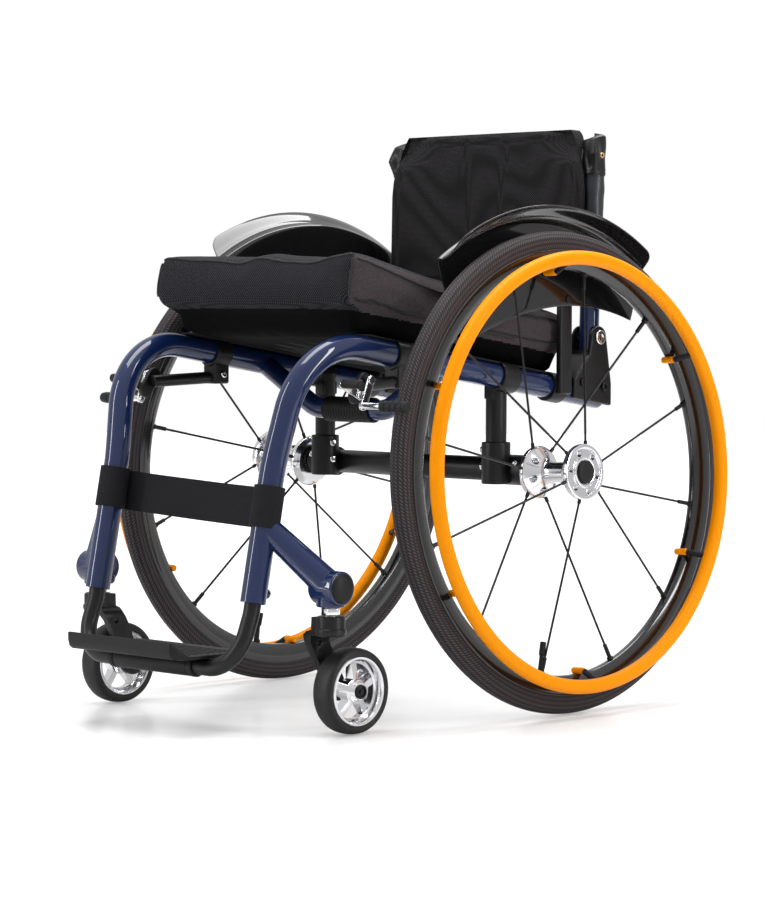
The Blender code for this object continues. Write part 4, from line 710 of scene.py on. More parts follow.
def make_caster_fork():
    """A one-armed fork cut from a front and a side outline, its stem and its nut."""
    x = CASTER_HUB.x
    face = x - 0.0195
    bulge = face - 0.0028
    arm = 0.0105
    head_low = 0.117
    front = [
        (x, 0.1385), (x - 0.016, 0.1385), (x - 0.0166, 0.1235), (bulge - arm + 0.0085, 0.1215),
        (bulge - arm + 0.003, 0.117), (bulge - arm + 0.0006, 0.11), (bulge - arm, 0.1),
        (bulge - arm + 0.0006, 0.09), (face - arm, 0.0685), (face - arm, 0.036), (face, 0.036),
        (face, 0.0705), (bulge, 0.093), (bulge, 0.107), (x - 0.017, head_low), (x, head_low),
    ]
    middle = Matrix.Translation((0.0, CASTER_STEM.y + 0.0166, 0.0))
    fork = slab("fork", front, 0.08, middle @ PLANE_XZ)
    stem_y = CASTER_STEM.y
    outline = [(stem_y - 0.0155, 0.144), (stem_y - 0.0155, 0.117)]
    outline += arc((CASTER_HUB.y, CASTER_HUB.z), 0.0135, 180.0, 360.0, 18)
    outline += [(stem_y + 0.0155, 0.117), (stem_y + 0.0155, 0.144)]
    side = slab("side", outline, 0.1, Matrix.Translation((x, 0.0, 0.0)) @ PLANE_YZ)
    combine(fork, side, "INTERSECT")
    head = mm(
        0, 139.5, 15, 139.5, 16.6, 138.5, 17, 137, 17, 125.5, 18.2, 124.5, 18.6, 122.5, 17.8, 118,
        16, 116.5, 0, 116.5)
    stem_matrix = Matrix.Translation(CASTER_STEM)
    unite(fork, lathe("head", head, 48, stem_matrix, False))
    cut(fork, pin("eye", (stem_y + 0.003, 0.107), x - 0.06, x, 0.004, 24, 0.0))
    soften(fork, 0.0022, 3, 35.0)
    pair(fork, "caster_fork_", "black_satin", "caster_fork_", sharp=40.0)

    profile = mm(0, 185.5, 8, 185.5, 8, 149.9, 9.2, 149.9, 9.2, 148.2, 8, 147.6, 8, 120.6, 0, 120.6)
    pair(lathe("caster_stem", profile, 40, stem_matrix, False), "caster_fork_", "chrome",
         "caster_stem_", sharp=35.0)
    nut = slab("stem_nut", arc((0.0, 0.0), 0.0115, 0.0, 300.0, 5), 0.009,
               Matrix.Translation((x, stem_y, 0.1448)), 0.0012)
    pair(nut, "caster_fork_", "chrome", slot="black_satin")


def make_caster_arm():
    """The brace from the leg with the housing that the caster's stem turns in."""
    root = leg_point(0.243)
    middle = Vector((0.20875, CASTER_STEM.y, HOUSING_Z))
    arm = rod("caster_arm", root, middle, 0.0142, 48, 0.0, 0.018)
    end = 0.2275
    unite(arm, pin("barrel", middle.yz, 0.1895, end, 0.02, 56, 0.0022))
    stem = CASTER_STEM + Vector((0.0, 0.0, middle.z))
    unite(arm, rod("foot", stem - Vector((0.0, 0.0, 0.022)), stem, 0.017, 48, 0.0022))
    reach = LEG_AXIS * 0.06
    cut(arm, rod("leg", root - reach, root + reach, 0.0148, 48))
    pair(arm, "frame", "navy_paint", "caster_arm_", sharp=35.0)
    cap = mm(0, 5.6, 6, 5.3, 12, 4.2, 15.8, 2.6, 17.2, 1.2, 17.5, 0, 0, -1)
    outer = axis_matrix((end, *middle.yz), (1.0, 0.0, 0.0))
    plug = lathe("housing_cap", cap, 56, outer, False)
    pair(plug, "frame", "black_plastic", "caster_arm_cap_", sharp=40.0)


# Frame

def make_side_frame():
    path = fillet((LEG_FOOT, LEG_KINK, FRAME_CORNER, FRAME_REAR), (0.25, 0.093))
    side = tube("side_frame", path, TUBE_RADIUS, 40)
    boss = LEG_FOOT + LEG_AXIS * 0.01
    unite(side, rod("boss", boss, boss + Vector((0.0, 0.0205, 0.0)), 0.006, 24, 0.001))
    cut(side, rod("socket", LEG_FOOT - LEG_AXIS * 0.01, LEG_FOOT + LEG_AXIS * 0.066, 0.0104, 40))
    pair(side, "frame", "navy_paint", "frame_side_", sharp=40.0)
    screw = rod("foot_screw", boss + Vector((0.0, 0.0195, 0.0)), boss + Vector((0.0, 0.0235, 0.0)),
                0.0042, 20, 0.001)
    pair(screw, "frame", "chrome")


def make_cross_tube():
    y = -0.124
    left = rail_point(y)
    low = left.z - 0.057
    points = ((-left.x, y, left.z), (-0.062, y, low), (0.062, y, low), tuple(left))
    path = fillet(points, (0.05, 0.05))
    bar = tube("cross_bar", path, 0.0125, 32)
    for sign in (-1.0, 1.0):
        reach = Vector((sign * RAIL_AXIS.x, RAIL_AXIS.y, RAIL_AXIS.z)) * 0.04
        middle = Vector((sign * left.x, y, left.z))
        rail_bore(bar, middle, reach, 40)
    place(bar, "frame", "navy_paint", "cross_tube", sharp=40.0)
    half = 0.041
    profile = [(0.0129, half)]
    count = 17
    pitch = 2.0 * half / count
    for index in range(count):
        top = half - pitch * index
        profile += [(0.015, top), (0.0158, top - pitch * 0.2), (0.0158, top - pitch * 0.6),
                    (0.0145, top - pitch * 0.75)]
    profile.append((0.0129, -half))
    sleeve = lathe("ribbed_sleeve", profile, 40, axis_matrix((0.0, y, low), (1.0, 0.0, 0.0)))
    place(sleeve, "frame", "black_plastic", "cross_tube_sleeve", sharp=35.0)


def socket_bolt(name, seat, axis, radius=0.0042, height=0.004):
    """A round bolt head with its hexagon socket."""
    axis = Vector(axis).normalized()
    seat = Vector(seat)
    top = seat + axis * height
    head = rod(name, seat, top, radius, 24, radius * 0.22)
    outline = arc((0.0, 0.0), radius * 0.55, 0.0, 300.0, 5)
    return cut(head, slab("hex", outline, height, axis_matrix(top, axis)))


def make_axle_carriers():
    """The post under each rail, the clamp that holds the axle tube in it, and that tube."""
    post_x, post_y = 0.152, -0.022
    axle_z = WHEEL_CENTRE.z
    top = rail_point(post_y)

    def on_post(height):
        return Vector((post_x, post_y, axle_z + height))

    post = rod("axle_post", on_post(0.0173), (post_x, post_y, top.z), 0.013, 48)
    reach = RAIL_AXIS * 0.015
    unite(post, rod("saddle", top - reach, top + reach, 0.0183, 56, 0.0012))
    lug = top + Vector((-0.013, 0.0, -0.02))
    unite(post, block("lug", lug - Vector((0.008, 0.013, 0.007)), lug + Vector((0.008, 0.013, 0.01)),
                      0.002))
    rail_bore(post, top, reach * 4.0)
    pair(post, "frame", "black_satin", "axle_post_", sharp=38.0)

    end = 0.19
    axle = (0.0, axle_z)
    clamp = rod("axle_clamp", on_post(-0.017), on_post(0.035), 0.018, 56, 0.0015)
    unite(clamp, pin("collar", axle, end - 0.04, end, 0.019, 56, 0.0012))
    cut(clamp, rod("post", on_post(0.017), on_post(0.05), 0.0133, 48))
    cut(clamp, pin("tube", axle, end - 0.07, end + 0.01, 0.0153, 48, 0.0))
    cut(clamp, block("slit", on_post(0.01) - Vector((0.03, 0.0008, 0.0)),
                     on_post(0.05) + Vector((0.0, 0.0008, 0.0))))
    pair(clamp, "frame", "black_satin", "axle_clamp_", sharp=38.0)
    bolts = [socket_bolt("bolt", on_post(height) - Vector((0.017, 0.004, 0.0)), (-1.0, -0.35, 0.0))
             for height in (0.004, 0.025)]
    bolts += [socket_bolt("bolt", (x, -0.0165, axle_z + 0.008), (0.0, -1.0, 0.35))
              for x in (0.16, 0.18)]
    pair(gather("clamp_bolts", bolts), "frame", "chrome")

    inner = 0.013
    half = 0.1905
    wall = [(0.015, half - 0.0008), (0.015, 0.0008 - half), (0.0144, -half), (inner, -half),
            (inner, half), (0.0144, half)]
    bar = lathe("axle_tube", wall, 48, axis_matrix((0.0, *axle), (1.0, 0.0, 0.0)))
    place(bar, "frame", "black_satin", "camber_tube", sharp=38.0)


def make_footrest():
    """The U tube and the tray, whose front lip turns up and whose ends are drawn in."""
    radius = 0.01
    bar = Vector((0.139, -0.446, 0.077))
    left = [LEG_FOOT + LEG_AXIS * 0.065, LEG_FOOT - LEG_AXIS * 0.013, bar]
    path = left + [Vector((-p.x, p.y, p.z)) for p in reversed(left)]
    hoop = tube("foot_hoop", fillet(path, (0.045,) * 4), radius, 32)
    place(hoop, "footrest", "black_satin", "footrest_tube", sharp=40.0)

    rear, half = -0.39, 0.098
    top = 0.092
    columns = 28
    rows = []
    profile = [(rear, 0.0), (rear + 0.002, 0.001), (-0.4, 0.0), (-0.42, 0.0), (-0.445, 0.0),
               (-0.47, 0.0), (-0.486, 0.0003), (-0.4935, 0.0022), (-0.4985, 0.006), (-0.5005, 0.0105),
               (-0.501, 0.0168)]
    rim = mm(-501.8, 17.2, -504, 17.2, -505, 16)
    under = [(-0.5048, 0.008), (-0.503, 0.001), (-0.4985, -0.0028), (-0.49, -0.004),
             (-0.47, -0.004), (-0.445, -0.004), (-0.4, -0.004), (rear - 0.001, -0.0038)]
    for index in range(columns + 1):
        share = 2.0 * index / columns - 1.0
        x = half * share
        edge = max(0.0, abs(share) - 0.93) / 0.07
        pull = 1.0 - 0.16 * edge * edge
        row = []
        for y, z in profile + rim + under:
            lift = z if z <= 0.004 else 0.004 + (z - 0.004) * (1.0 - 0.75 * edge * edge)
            row.append(Vector((x, -0.445 + (y + 0.445) * pull, top + lift)))
        rows.append(row)
    plate = surface("foot_plate", rows, False, True, True)
    unite(plate, pin("clamp", bar.yz, -0.065, 0.065, 0.0125, 40, 0.001))
    cut(plate, pin("bar", bar.yz, -0.09, 0.09, 0.0103, 32, 0.0))
    soften(plate, 0.0008, 2, 50.0)
    place(plate, "footrest", "black_plastic", "footplate", sharp=40.0)
    ribs = []
    for index in range(9):
        y = -0.402 - 0.0095 * index
        ribs.append(block("rib", (-0.086, y - 0.0012, top - 0.0005),
                          (0.086, y + 0.0012, top + 0.0007), 0.0005))
    place(gather("foot_grip", ribs), "footrest", "black_plastic")
    ends = []
    for sign in (-1.0, 1.0):
        ends.append(pin("collar", bar.yz, sign * 0.0655, sign * 0.0745, 0.0128, 32, 0.0012))
        ends.append(socket_bolt("bolt", (sign * 0.07, bar.y + 0.011, bar.z - 0.002), (0.0, 1.0, 0.0)))
    place(gather("foot_collars", ends), "footrest", "black_plastic")


# Strap, sling and cushion

def make_calf_strap():
    """A flat band that sags behind the legs, with a loop round each of them."""
    middle = leg_point(0.275)
    turn = Matrix.Rotation(-atan2(LEG_AXIS.y, LEG_AXIS.z), 4, "X")
    matrix = Matrix.Translation((0.0, middle.y, middle.z)) @ turn
    radius = TUBE_RADIUS + 0.0022
    half = 0.024
    loop_heights = (-0.0245, -0.0238, -0.012, 0.0, 0.012, 0.0238, 0.0245)
    band_heights = [half * share for share in (-1.0, -0.96, -0.5, 0.0, 0.5, 0.96, 1.0)]
    parts = []
    for sign in (1.0, -1.0):
        fall = STRAP_FALL * (1.0 + sign) / 2.0
        rows = [[matrix @ Vector((sign * middle.x + a, b, z - fall)) for z in loop_heights]
                for a, b in ring(radius, 56)]
        parts.append((surface("strap_loop", rows, True), 0.0006))
    rows = []
    for index in range(25):
        share = 1.0 - 2.0 * index / 24
        x = middle.x * share
        y = radius + 0.014 * (1.0 - share * share) + 0.0018
        bow = 0.0012 * sin(x * 60.0)
        fall = STRAP_FALL * (1.0 + share) / 2.0
        rows.append([matrix @ Vector((x, y + bow * z / half, z - fall)) for z in band_heights])
    parts.append((surface("strap_band", rows), 0.0005))
    for part, edge in parts:
        thicken(part, CLOTH)
        soften(part, edge, 2)
    strap = gather("calf_band", [part for part, _ in parts])
    place(strap, "frame", "black_webbing", "calf_strap", sharp=50.0)


def make_sling():
    """The seat cloth: taut between the rails, a little slack at its front edge."""
    cosine = cos(RAIL_PITCH)
    rows = []
    rear, front = 0.08 / cosine, -0.262 / cosine
    for i in range(45):
        v = i / 44.0
        y = rear + (front - rear) * v
        edge_x = rail_point(y * cosine).x + 0.006
        row = []
        for j in range(61):
            u = 2.0 * j / 60.0 - 1.0
            x = edge_x * u
            sag = -0.006 * (1.0 - u * u) * sin(pi * min(1.0, v * 1.05))
            wrinkle = 0.0012 * sin(26.0 * u + 3.0 * v) * (1.0 - abs(u)) * v
            row.append(SEAT @ Vector((x, y, 0.0165 + sag * 0.6 + wrinkle)))
        rows.append(row)
    sling = surface("seat_cloth", rows)
    thicken(sling, CLOTH)
    place(sling, "frame", "black_webbing", "seat_sling", sharp=60.0, slot="black_fabric")


CUSHION_HALF = 0.176
CUSHION_BASE = 0.0195
CUSHION_WAVE = ((-1.0, -0.001), (-0.9, 0.0), (-0.53, -0.0023), (-0.13, -0.0046), (0.035, 0.0004),
                (0.353, -0.0046), (0.56, -0.006), (0.84, 0.0004), (1.0, 0.005))


def cushion_wave(u):
    """How far the front edge stands above its mean height, at a share across."""
    for (u0, h0), (u1, h1) in zip(CUSHION_WAVE, CUSHION_WAVE[1:]):
        if u <= u1:
            share = max(0.0, u - u0) / (u1 - u0)
            return h0 + (h1 - h0) * share * share * (3.0 - 2.0 * share)
    return CUSHION_WAVE[-1][1]


def cushion_top(u, y):
    """Height of the cushion's top above its base: u runs across, y along the rails."""
    if y > -0.168:
        return 0.074 + 0.004 * (0.078 - y) / 0.246
    nose = (-0.168 - y) / 0.143
    rise = 0.0122 + cushion_wave(u)
    return 0.078 + rise * 0.5 * (nose * (2.0 - nose) + nose * nose)


def cushion_loop(u):
    """The cushion's section at one place across, as (y along the rails, height) points."""
    bottom = [(0.074 - 0.35 * k / 14.0, 0.0) for k in range(15)]
    nose_top = cushion_top(u, -0.302)
    nose = [(-0.278, 0.016), (-0.286, 0.0235), (-0.3, 0.0265), (-0.3075, 0.033), (-0.31, 0.044),
            (-0.31, 0.06), (-0.3088, nose_top - 0.009), (-0.3058, nose_top - 0.003), (-0.301, nose_top)]
    top = [(y, cushion_top(u, y)) for y in [-0.292 + 0.361 * k / 18.0 for k in range(19)]]
    rear = mm(74.5, 70, 77, 60, 77.5, 36, 77, 10)
    return bottom + nose + top + rear


def make_cushion():
    """A sewn pad: wavy front edge, mesh top and front, plain sides, tucked in underneath."""
    half = CUSHION_HALF
    cosine = cos(RAIL_PITCH)
    edges = (0.0, 0.001, 0.0028, 0.0058, 0.01, 0.016)
    corner = edges[-1]
    places = [-half + e for e in edges]
    places += [-half + corner + (2.0 * half - 2.0 * corner) * k / 36.0 for k in range(1, 36)]
    places += [half - e for e in reversed(edges)]
    middle = Vector((-0.12, 0.04))
    rows = []
    for x in places:
        gap = min(half - abs(x), corner)
        pull = corner * (1.0 - sqrt(1.0 - ((corner - gap) / corner) ** 2))
        row = []
        for y, h in cushion_loop(x / half):
            tuck = min(1.0, max(0.0, (0.0255 - h) / 0.012))
            inward = Vector((copysign(min(abs(middle.x - y), pull), middle.x - y),
                             copysign(min(abs(middle.y - h), pull), middle.y - h)))
            inside = x * (1.0 - 0.085 * tuck * tuck * (3.0 - 2.0 * tuck))
            row.append(SEAT @ Vector((inside, (y + inward.x) / cosine, CUSHION_BASE + h + inward.y)))
        rows.append(row)
    cushion = surface("cushion", rows, False, True, True)
    settle(cushion)
    remesh = cushion.modifiers.new("remesh", "REMESH")
    remesh.mode = "VOXEL"
    remesh.voxel_size = 0.005
    settle(cushion)
    inflate(cushion, 2.5, 0.006)
    smooth = cushion.modifiers.new("smooth", "SMOOTH")
    smooth.factor = 0.5
    smooth.iterations = 3
    fine = cushion.modifiers.new("fine", "SUBSURF")
    fine.levels = 1
    fine.render_levels = 1
    settle(cushion, 180.0)
    seams, stitches = cushion_seams(cushion, cosine)
    place(cushion, "frame", "spacer_mesh", "seat_cushion", sharp=180.0)
    side, under = 1, 2
    cushion.data.materials.append(MATERIALS["side_cloth"])
    cushion.data.materials.append(MATERIALS["shaded_under_cloth"])
    to_seat = SEAT.inverted() @ Matrix.Translation((0.0, -DATUM_Y, 0.0))
    for face in cushion.data.polygons:
        # Faces below the seam get the under cloth, whose extra darkness is painted shade in the recess;
        # the sides get the side cloth.
        if (to_seat @ face.center).z < CUSHION_BASE + 0.0225:
            face.material_index = under
        elif abs(face.normal.x) > 0.62 and abs(face.center.x) > half - 0.02:
            face.material_index = side
    place(seams, "frame", "piping", sharp=60.0)
    place(stitches, "frame", "thread", sharp=60.0)


def inflate(obj, pressure, cap):
    """Cloth with air pressure inside; no point ends further than cap from where it began."""
    start = [vert.co.copy() for vert in obj.data.vertices]
    cloth = obj.modifiers.new("cloth", "CLOTH")
    settings = cloth.settings
    settings.quality = 4
    settings.mass = 0.3
    settings.tension_stiffness = 25.0
    settings.compression_stiffness = 25.0
    settings.bending_stiffness = 4.0
    settings.use_pressure = True
    settings.uniform_pressure_force = pressure
    settings.effector_weights.gravity = 0.0
    frames = 16
    cloth.point_cache.frame_start = 1
    cloth.point_cache.frame_end = frames
    for step in range(1, frames + 1):
        bpy.context.scene.frame_set(step)
    settle(obj)
    bpy.context.scene.frame_set(1)
    for vert, home in zip(obj.data.vertices, start):
        move = vert.co - home
        if move.length > cap:
            vert.co = home + move * (cap / move.length)


def trace(obj, points, lift):
    """The nearest path on a piece's surface, a little proud of it."""
    out = []
    for point in points:
        _, found, normal, _ = obj.closest_point_on_mesh(point)
        out.append(found + normal * lift)
    return out


def cushion_seams(cushion, cosine):
    """Piping along the cushion's edges and a zigzag of thread below it."""
    def line(points, lift, radius):
        path = [SEAT @ Vector((x, y / cosine, CUSHION_BASE + h)) for x, y, h in points]
        return tube("seam", trace(cushion, path, lift), radius, 8)

    xs = [-0.172 + 0.344 * k / 90.0 for k in range(91)]
    ys = [-0.304 + 0.37 * k / 90.0 for k in range(91)]
    front = [(x, -0.311, cushion_top(x / CUSHION_HALF, -0.302) + 0.001) for x in xs]
    piping = [line(front, 0.0004, 0.0015)]
    stitches = []
    for sign in (-1.0, 1.0):
        top = [(sign * 0.187, y, cushion_top(sign, y) - 0.004) for y in ys]
        low = [(sign * 0.189, y, 0.027) for y in ys]
        rise = [(sign * 0.183, -0.3195, 0.03 + 0.058 * k / 20.0) for k in range(21)]
        piping += [line(top, 0.0004, 0.0016), line(low, 0.0002, 0.0013), line(rise, 0.0004, 0.0015)]
        zigzag = [(sign * 0.189, -0.3 + 0.0026 * k, 0.0242 if k % 2 else 0.0198) for k in range(110)]
        stitches.append(line(zigzag, 0.0002, 0.0006))
    return gather("cushion_piping", piping), gather("cushion_stitches", stitches)


# Side guards

def spline(points, count):
    """A smooth run through every given point, count steps to a span."""
    points = [Vector(point) for point in points]
    ends = [points[0] * 2.0 - points[1]] + points + [points[-1] * 2.0 - points[-2]]
    out = []
    for a, b, c, d in zip(ends, ends[1:], ends[2:], ends[3:]):
        for step in range(count):
            t = step / count
            out.append(0.5 * (2.0 * b + (c - a) * t + (2.0 * a - 5.0 * b + 4.0 * c - d) * t * t
                              + (3.0 * b - a - 3.0 * c + d) * t * t * t))
    out.append(points[-1])
    return out


GUARD_X = 0.19
GUARD_HALF_WALL = 0.00125
GUARD_CORNER = 0.009
GUARD_STEPS = 8
GUARD_RIDGES = ((24, 1.0), (33, 0.6))
GUARD_ENDS = ((-38.0, 45.0), (-36.0, 43.0), (-33.5, 39.3), (-33.0, 38.5), (-31.5, 37.0), (-29.5, 35.5),
              (-28.0, 34.5))
GUARD_WING = mm(190, 303, 198, 306, 208, 310.5, 220, 321, 226, 325)


def guard_low_radius(bearing):
    return 0.1965 + 0.00065 * bearing + 0.000018 * bearing * bearing


def guard_point(x, radius, bearing):
    """A point beside the left tyre: bearing in degrees from the top, rearwards."""
    angle = radians(bearing)
    return Vector((x, radius * sin(angle), WHEEL_CENTRE.z + radius * cos(angle)))


def make_guard():
    """A panel beside the tyre whose top flares out just above it, with two fine ridges."""
    rows = []
    columns = 96
    for index in range(columns + 1):
        share = index / columns
        angles = [front + (rear - front) * share for front, rear in GUARD_ENDS]
        low = guard_low_radius(angles[0])
        middle = (guard_low_radius(angles[1]) + GUARD_WING[0][1]) / 2.0
        knots = [(GUARD_X, low, angles[0]), (GUARD_X, middle, angles[1])]
        knots += [(x, r, angle) for (x, r), angle in zip(GUARD_WING, angles[2:])]
        run = spline(knots, GUARD_STEPS)
        row = []
        for step, (x, r, a) in enumerate(run):
            gap = hypot(x - run[-1].x, r - run[-1].y)
            near = max(0.0, 1.0 - gap / GUARD_CORNER)
            pull = degrees(GUARD_CORNER * (1.0 - sqrt(1.0 - near * near)) / r)
            ridge = sum(size * exp(-((step - at) / 0.8) ** 2) for at, size in GUARD_RIDGES)
            out = min(1.0, max(0.0, (step - GUARD_STEPS) / GUARD_STEPS))
            lift = out * (GUARD_HALF_WALL + 0.0009 * ridge)
            turn = a + (1.0 - 2.0 * share) * pull
            row.append(guard_point(x + GUARD_HALF_WALL * (1.0 - 0.5 * out), r + lift, turn))
        rows.append(row)
    guard = surface("guard", rows)
    thicken(guard, 0.0022)
    settle(guard)
    soften(guard, 0.0007, 2, 50.0)
    pair(guard, "frame", "carbon_gloss", "side_guard_", sharp=50.0)


def make_receiver():
    """The clamp on the rail that the side guard is screwed to."""
    y = 0.066
    middle = rail_point(y)
    reach = RAIL_AXIS * 0.012
    ring_piece = rod("receiver", middle - reach, middle + reach, 0.0185, 48, 0.0012)
    face = GUARD_X - 0.0003
    tab = block("tab", (face - 0.0085, y - 0.011, middle.z - 0.008), (face, y + 0.011, 0.52), 0.0022)
    unite(ring_piece, tab)
    rail_bore(ring_piece, middle, reach * 3.0)
    pair(ring_piece, "frame", "black_satin", "guard_receiver_", sharp=38.0)
    bolts = [socket_bolt("guard_bolt", (face - 0.0085, y, z), (-1.0, 0.0, 0.0), 0.0045, 0.003)
             for z in (0.462, 0.484, 0.506)]
    pair(gather("guard_bolts", bolts), "frame", "chrome")
    stud = pin("guard_stud", (y, 0.507), GUARD_X + 0.0024, GUARD_X + 0.004, 0.005, 24, 0.001)
    pair(gather("guard_studs", [stud]), "frame", "black_satin")


# Brakes, as (y, z) places and x faces

SHOE = Vector((-0.3, 0.3802))
SHOE_PIVOT = Vector((-0.288, 0.4102))
LEVER_PIVOT = Vector((-0.3, 0.3922))
GRIP = Vector((-0.326, 0.406))
LEVER_X = 0.1898
SHOE_X = 0.1961


def capsule(start, end, half, count=10):
    """The outline of a flat link with round ends."""
    along = (end - start).normalized()
    heading = degrees(atan2(along.y, along.x))
    return (arc(end, half, heading - 90.0, heading + 90.0, count)
            + arc(start, half, heading + 90.0, heading + 270.0, count))


def flat_link(name, start, end, half, face, thickness, edge=0.0008):
    matrix = Matrix.Translation((face + thickness / 2.0, 0.0, 0.0)) @ PLANE_YZ
    return slab(name, capsule(start, end, half), thickness, matrix, edge)


def make_brake():
    """The clamp under the rail with its pivot plate, the lever with its knob, and the shoe."""
    y = -0.205
    middle = rail_point(y)
    reach = RAIL_AXIS * 0.013
    mount = rod("brake_mount", middle - reach, middle + reach, 0.0185, 56, 0.0012)
    low = middle.z - 0.039
    unite(mount, block("body", (middle.x - 0.012, y - 0.012, low),
                       (middle.x + 0.012, y + 0.012, middle.z), 0.003))
    tip = Vector((0.178, LEVER_PIVOT.x + 0.003, LEVER_PIVOT.y + 0.01))
    unite(mount, rod("carrier", (middle.x, y, low + 0.0085), tip, 0.0075, 32, 0.0008))
    corner = LEVER_PIVOT + Vector((-0.002, -0.001))
    unite(mount, flat_link("plate", corner, SHOE_PIVOT, 0.009, 0.1835, 0.006))
    unite(mount, pin("boss", SHOE_PIVOT, 0.185, SHOE_X - 0.0003, 0.005))
    rail_bore(mount, middle, reach * 3.0, 56)
    pair(mount, "frame", "black_satin", "brake_mount_", sharp=38.0)
    pins = []
    for pivot, face in ((LEVER_PIVOT, LEVER_X), (SHOE_PIVOT, SHOE_X)):
        pins.append(pin("pin", pivot, 0.187, face + 0.0045, 0.003, 20))
        pins.append(pin("head", pivot, face + 0.0043, face + 0.0055, 0.005, 28, 0.0005))
    seat = (middle.x - 0.012, y, middle.z - 0.027)
    pins.append(socket_bolt("clamp_bolt", seat, (-1.0, 0.0, 0.0), 0.0045))
    pair(gather("brake_pins", pins), "frame", "chrome")

    lever = flat_link("brake_lever", LEVER_PIVOT, GRIP, 0.0055, LEVER_X, 0.004, 0.0009)
    cut(lever, pin("hole", LEVER_PIVOT, LEVER_X - 0.002, LEVER_X + 0.007, 0.0032))
    pair(lever, "brake_lever_", "chrome", "brake_lever_", sharp=38.0)
    knob = pin("brake_grip", GRIP, LEVER_X + 0.001, 0.222, 0.0055, 32, 0.002)
    pair(knob, "brake_lever_", "black_plastic", slot="chrome")

    shoe = flat_link("brake_arm", SHOE_PIVOT, SHOE, 0.0055, SHOE_X, 0.004, 0.0009)
    cut(shoe, pin("hole", SHOE_PIVOT, SHOE_X - 0.0015, SHOE_X + 0.007, 0.0032))
    unite(shoe, pin("rod", SHOE, SHOE_X + 0.001, 0.231, 0.004))
    pair(shoe, "brake_shoe_", "chrome", "brake_shoe_", sharp=38.0, slot="black_plastic")
    rings = [pin("roller", SHOE, x, x + 0.0089, 0.007, 36, 0.0012)
             for x in (0.2292, 0.2385, 0.2478, 0.2571)]
    rings.append(pin("core", SHOE, 0.23, 0.2705, 0.0062, 32, 0.001))
    pair(gather("brake_roller", rings), "brake_shoe_", "black_plastic")


# Backrest

def back_point(x, y, z):
    return BACK @ Vector((x, y, z))


def make_bracket():
    """The slotted block that holds the cane, with the bolt that the cane turns on."""
    front, rear = 0.088, 0.16
    skirt = [(y, rail_point(y).z - 0.01) for y in (front, rear)]
    pivot = BACK_PIVOT.yz
    outline = [skirt[0], skirt[1], (rear, skirt[1][1] + 0.028)]
    outline += arc(pivot, 0.0145, 0.0, 180.0, 20)
    outline += [(pivot[0] - 0.0185, pivot[1] - 0.022), (front + 0.01, skirt[0][1] + 0.034),
                (front, skirt[0][1] + 0.024)]
    matrix = Matrix.Translation((CANE_X, 0.0, 0.0)) @ PLANE_YZ
    bracket = slab("bracket", outline, 0.036, matrix)
    soften(bracket, 0.0028, 4, 25.0)
    cut(bracket, block("slot", (CANE_X - 0.0133, front - 0.01, pivot[1] - 0.0215),
                       (CANE_X + 0.0133, rear + 0.02, pivot[1] + 0.03), 0.0015))
    rail_bore(bracket, rail_point((front + rear) / 2.0), RAIL_AXIS * 0.08, 56)
    cut(bracket, pin("hole", pivot, CANE_X - 0.03, CANE_X + 0.03, PIN_BORE, 24, 0.0))
    pair(bracket, "frame", "black_satin", "back_bracket_", sharp=38.0)
    bolt, head = [socket_bolt("back_pin", (CANE_X + sign * 0.0183, *pivot), (sign, 0.0, 0.0),
                              0.009, 0.003) for sign in (-1.0, 1.0)]
    unite(bolt, head)
    unite(bolt, pin("shank", pivot, CANE_X - 0.019, CANE_X + 0.019, 0.005, 24, 0.0))
    pair(bolt, "frame", "chrome", "back_pivot_pin_", sharp=38.0)
    bolts = []
    for y in (front + 0.016, rear - 0.016):
        seat = (CANE_X + 0.0178, y, rail_point(y).z + 0.012)
        bolts.append(socket_bolt("bracket_bolt", seat, (1.0, 0.0, 0.0), 0.0055, 0.0035))
    pair(gather("bracket_bolts", bolts), "frame", "black_satin", sharp=38.0)


def make_back():
    ends = [back_point(CANE_X, 0.0, height) for height in (-0.016, 0.25)]
    cane = tube("cane", ends, CANE_RADIUS, 40)
    unite(cane, rod("stud", back_point(CANE_X, 0.006, -0.002), back_point(CANE_X, 0.026, -0.002),
                    0.0028, 20, 0.0008))
    soften(cane, 0.0015, 3, 50.0)
    cut(cane, pin("hole", BACK_PIVOT.yz, CANE_X - 0.03, CANE_X + 0.03, PIN_BORE, 24, 0.0))
    pair(cane, "backrest", "navy_paint", "back_cane_", sharp=38.0)
    make_cover()
    make_upholstery()


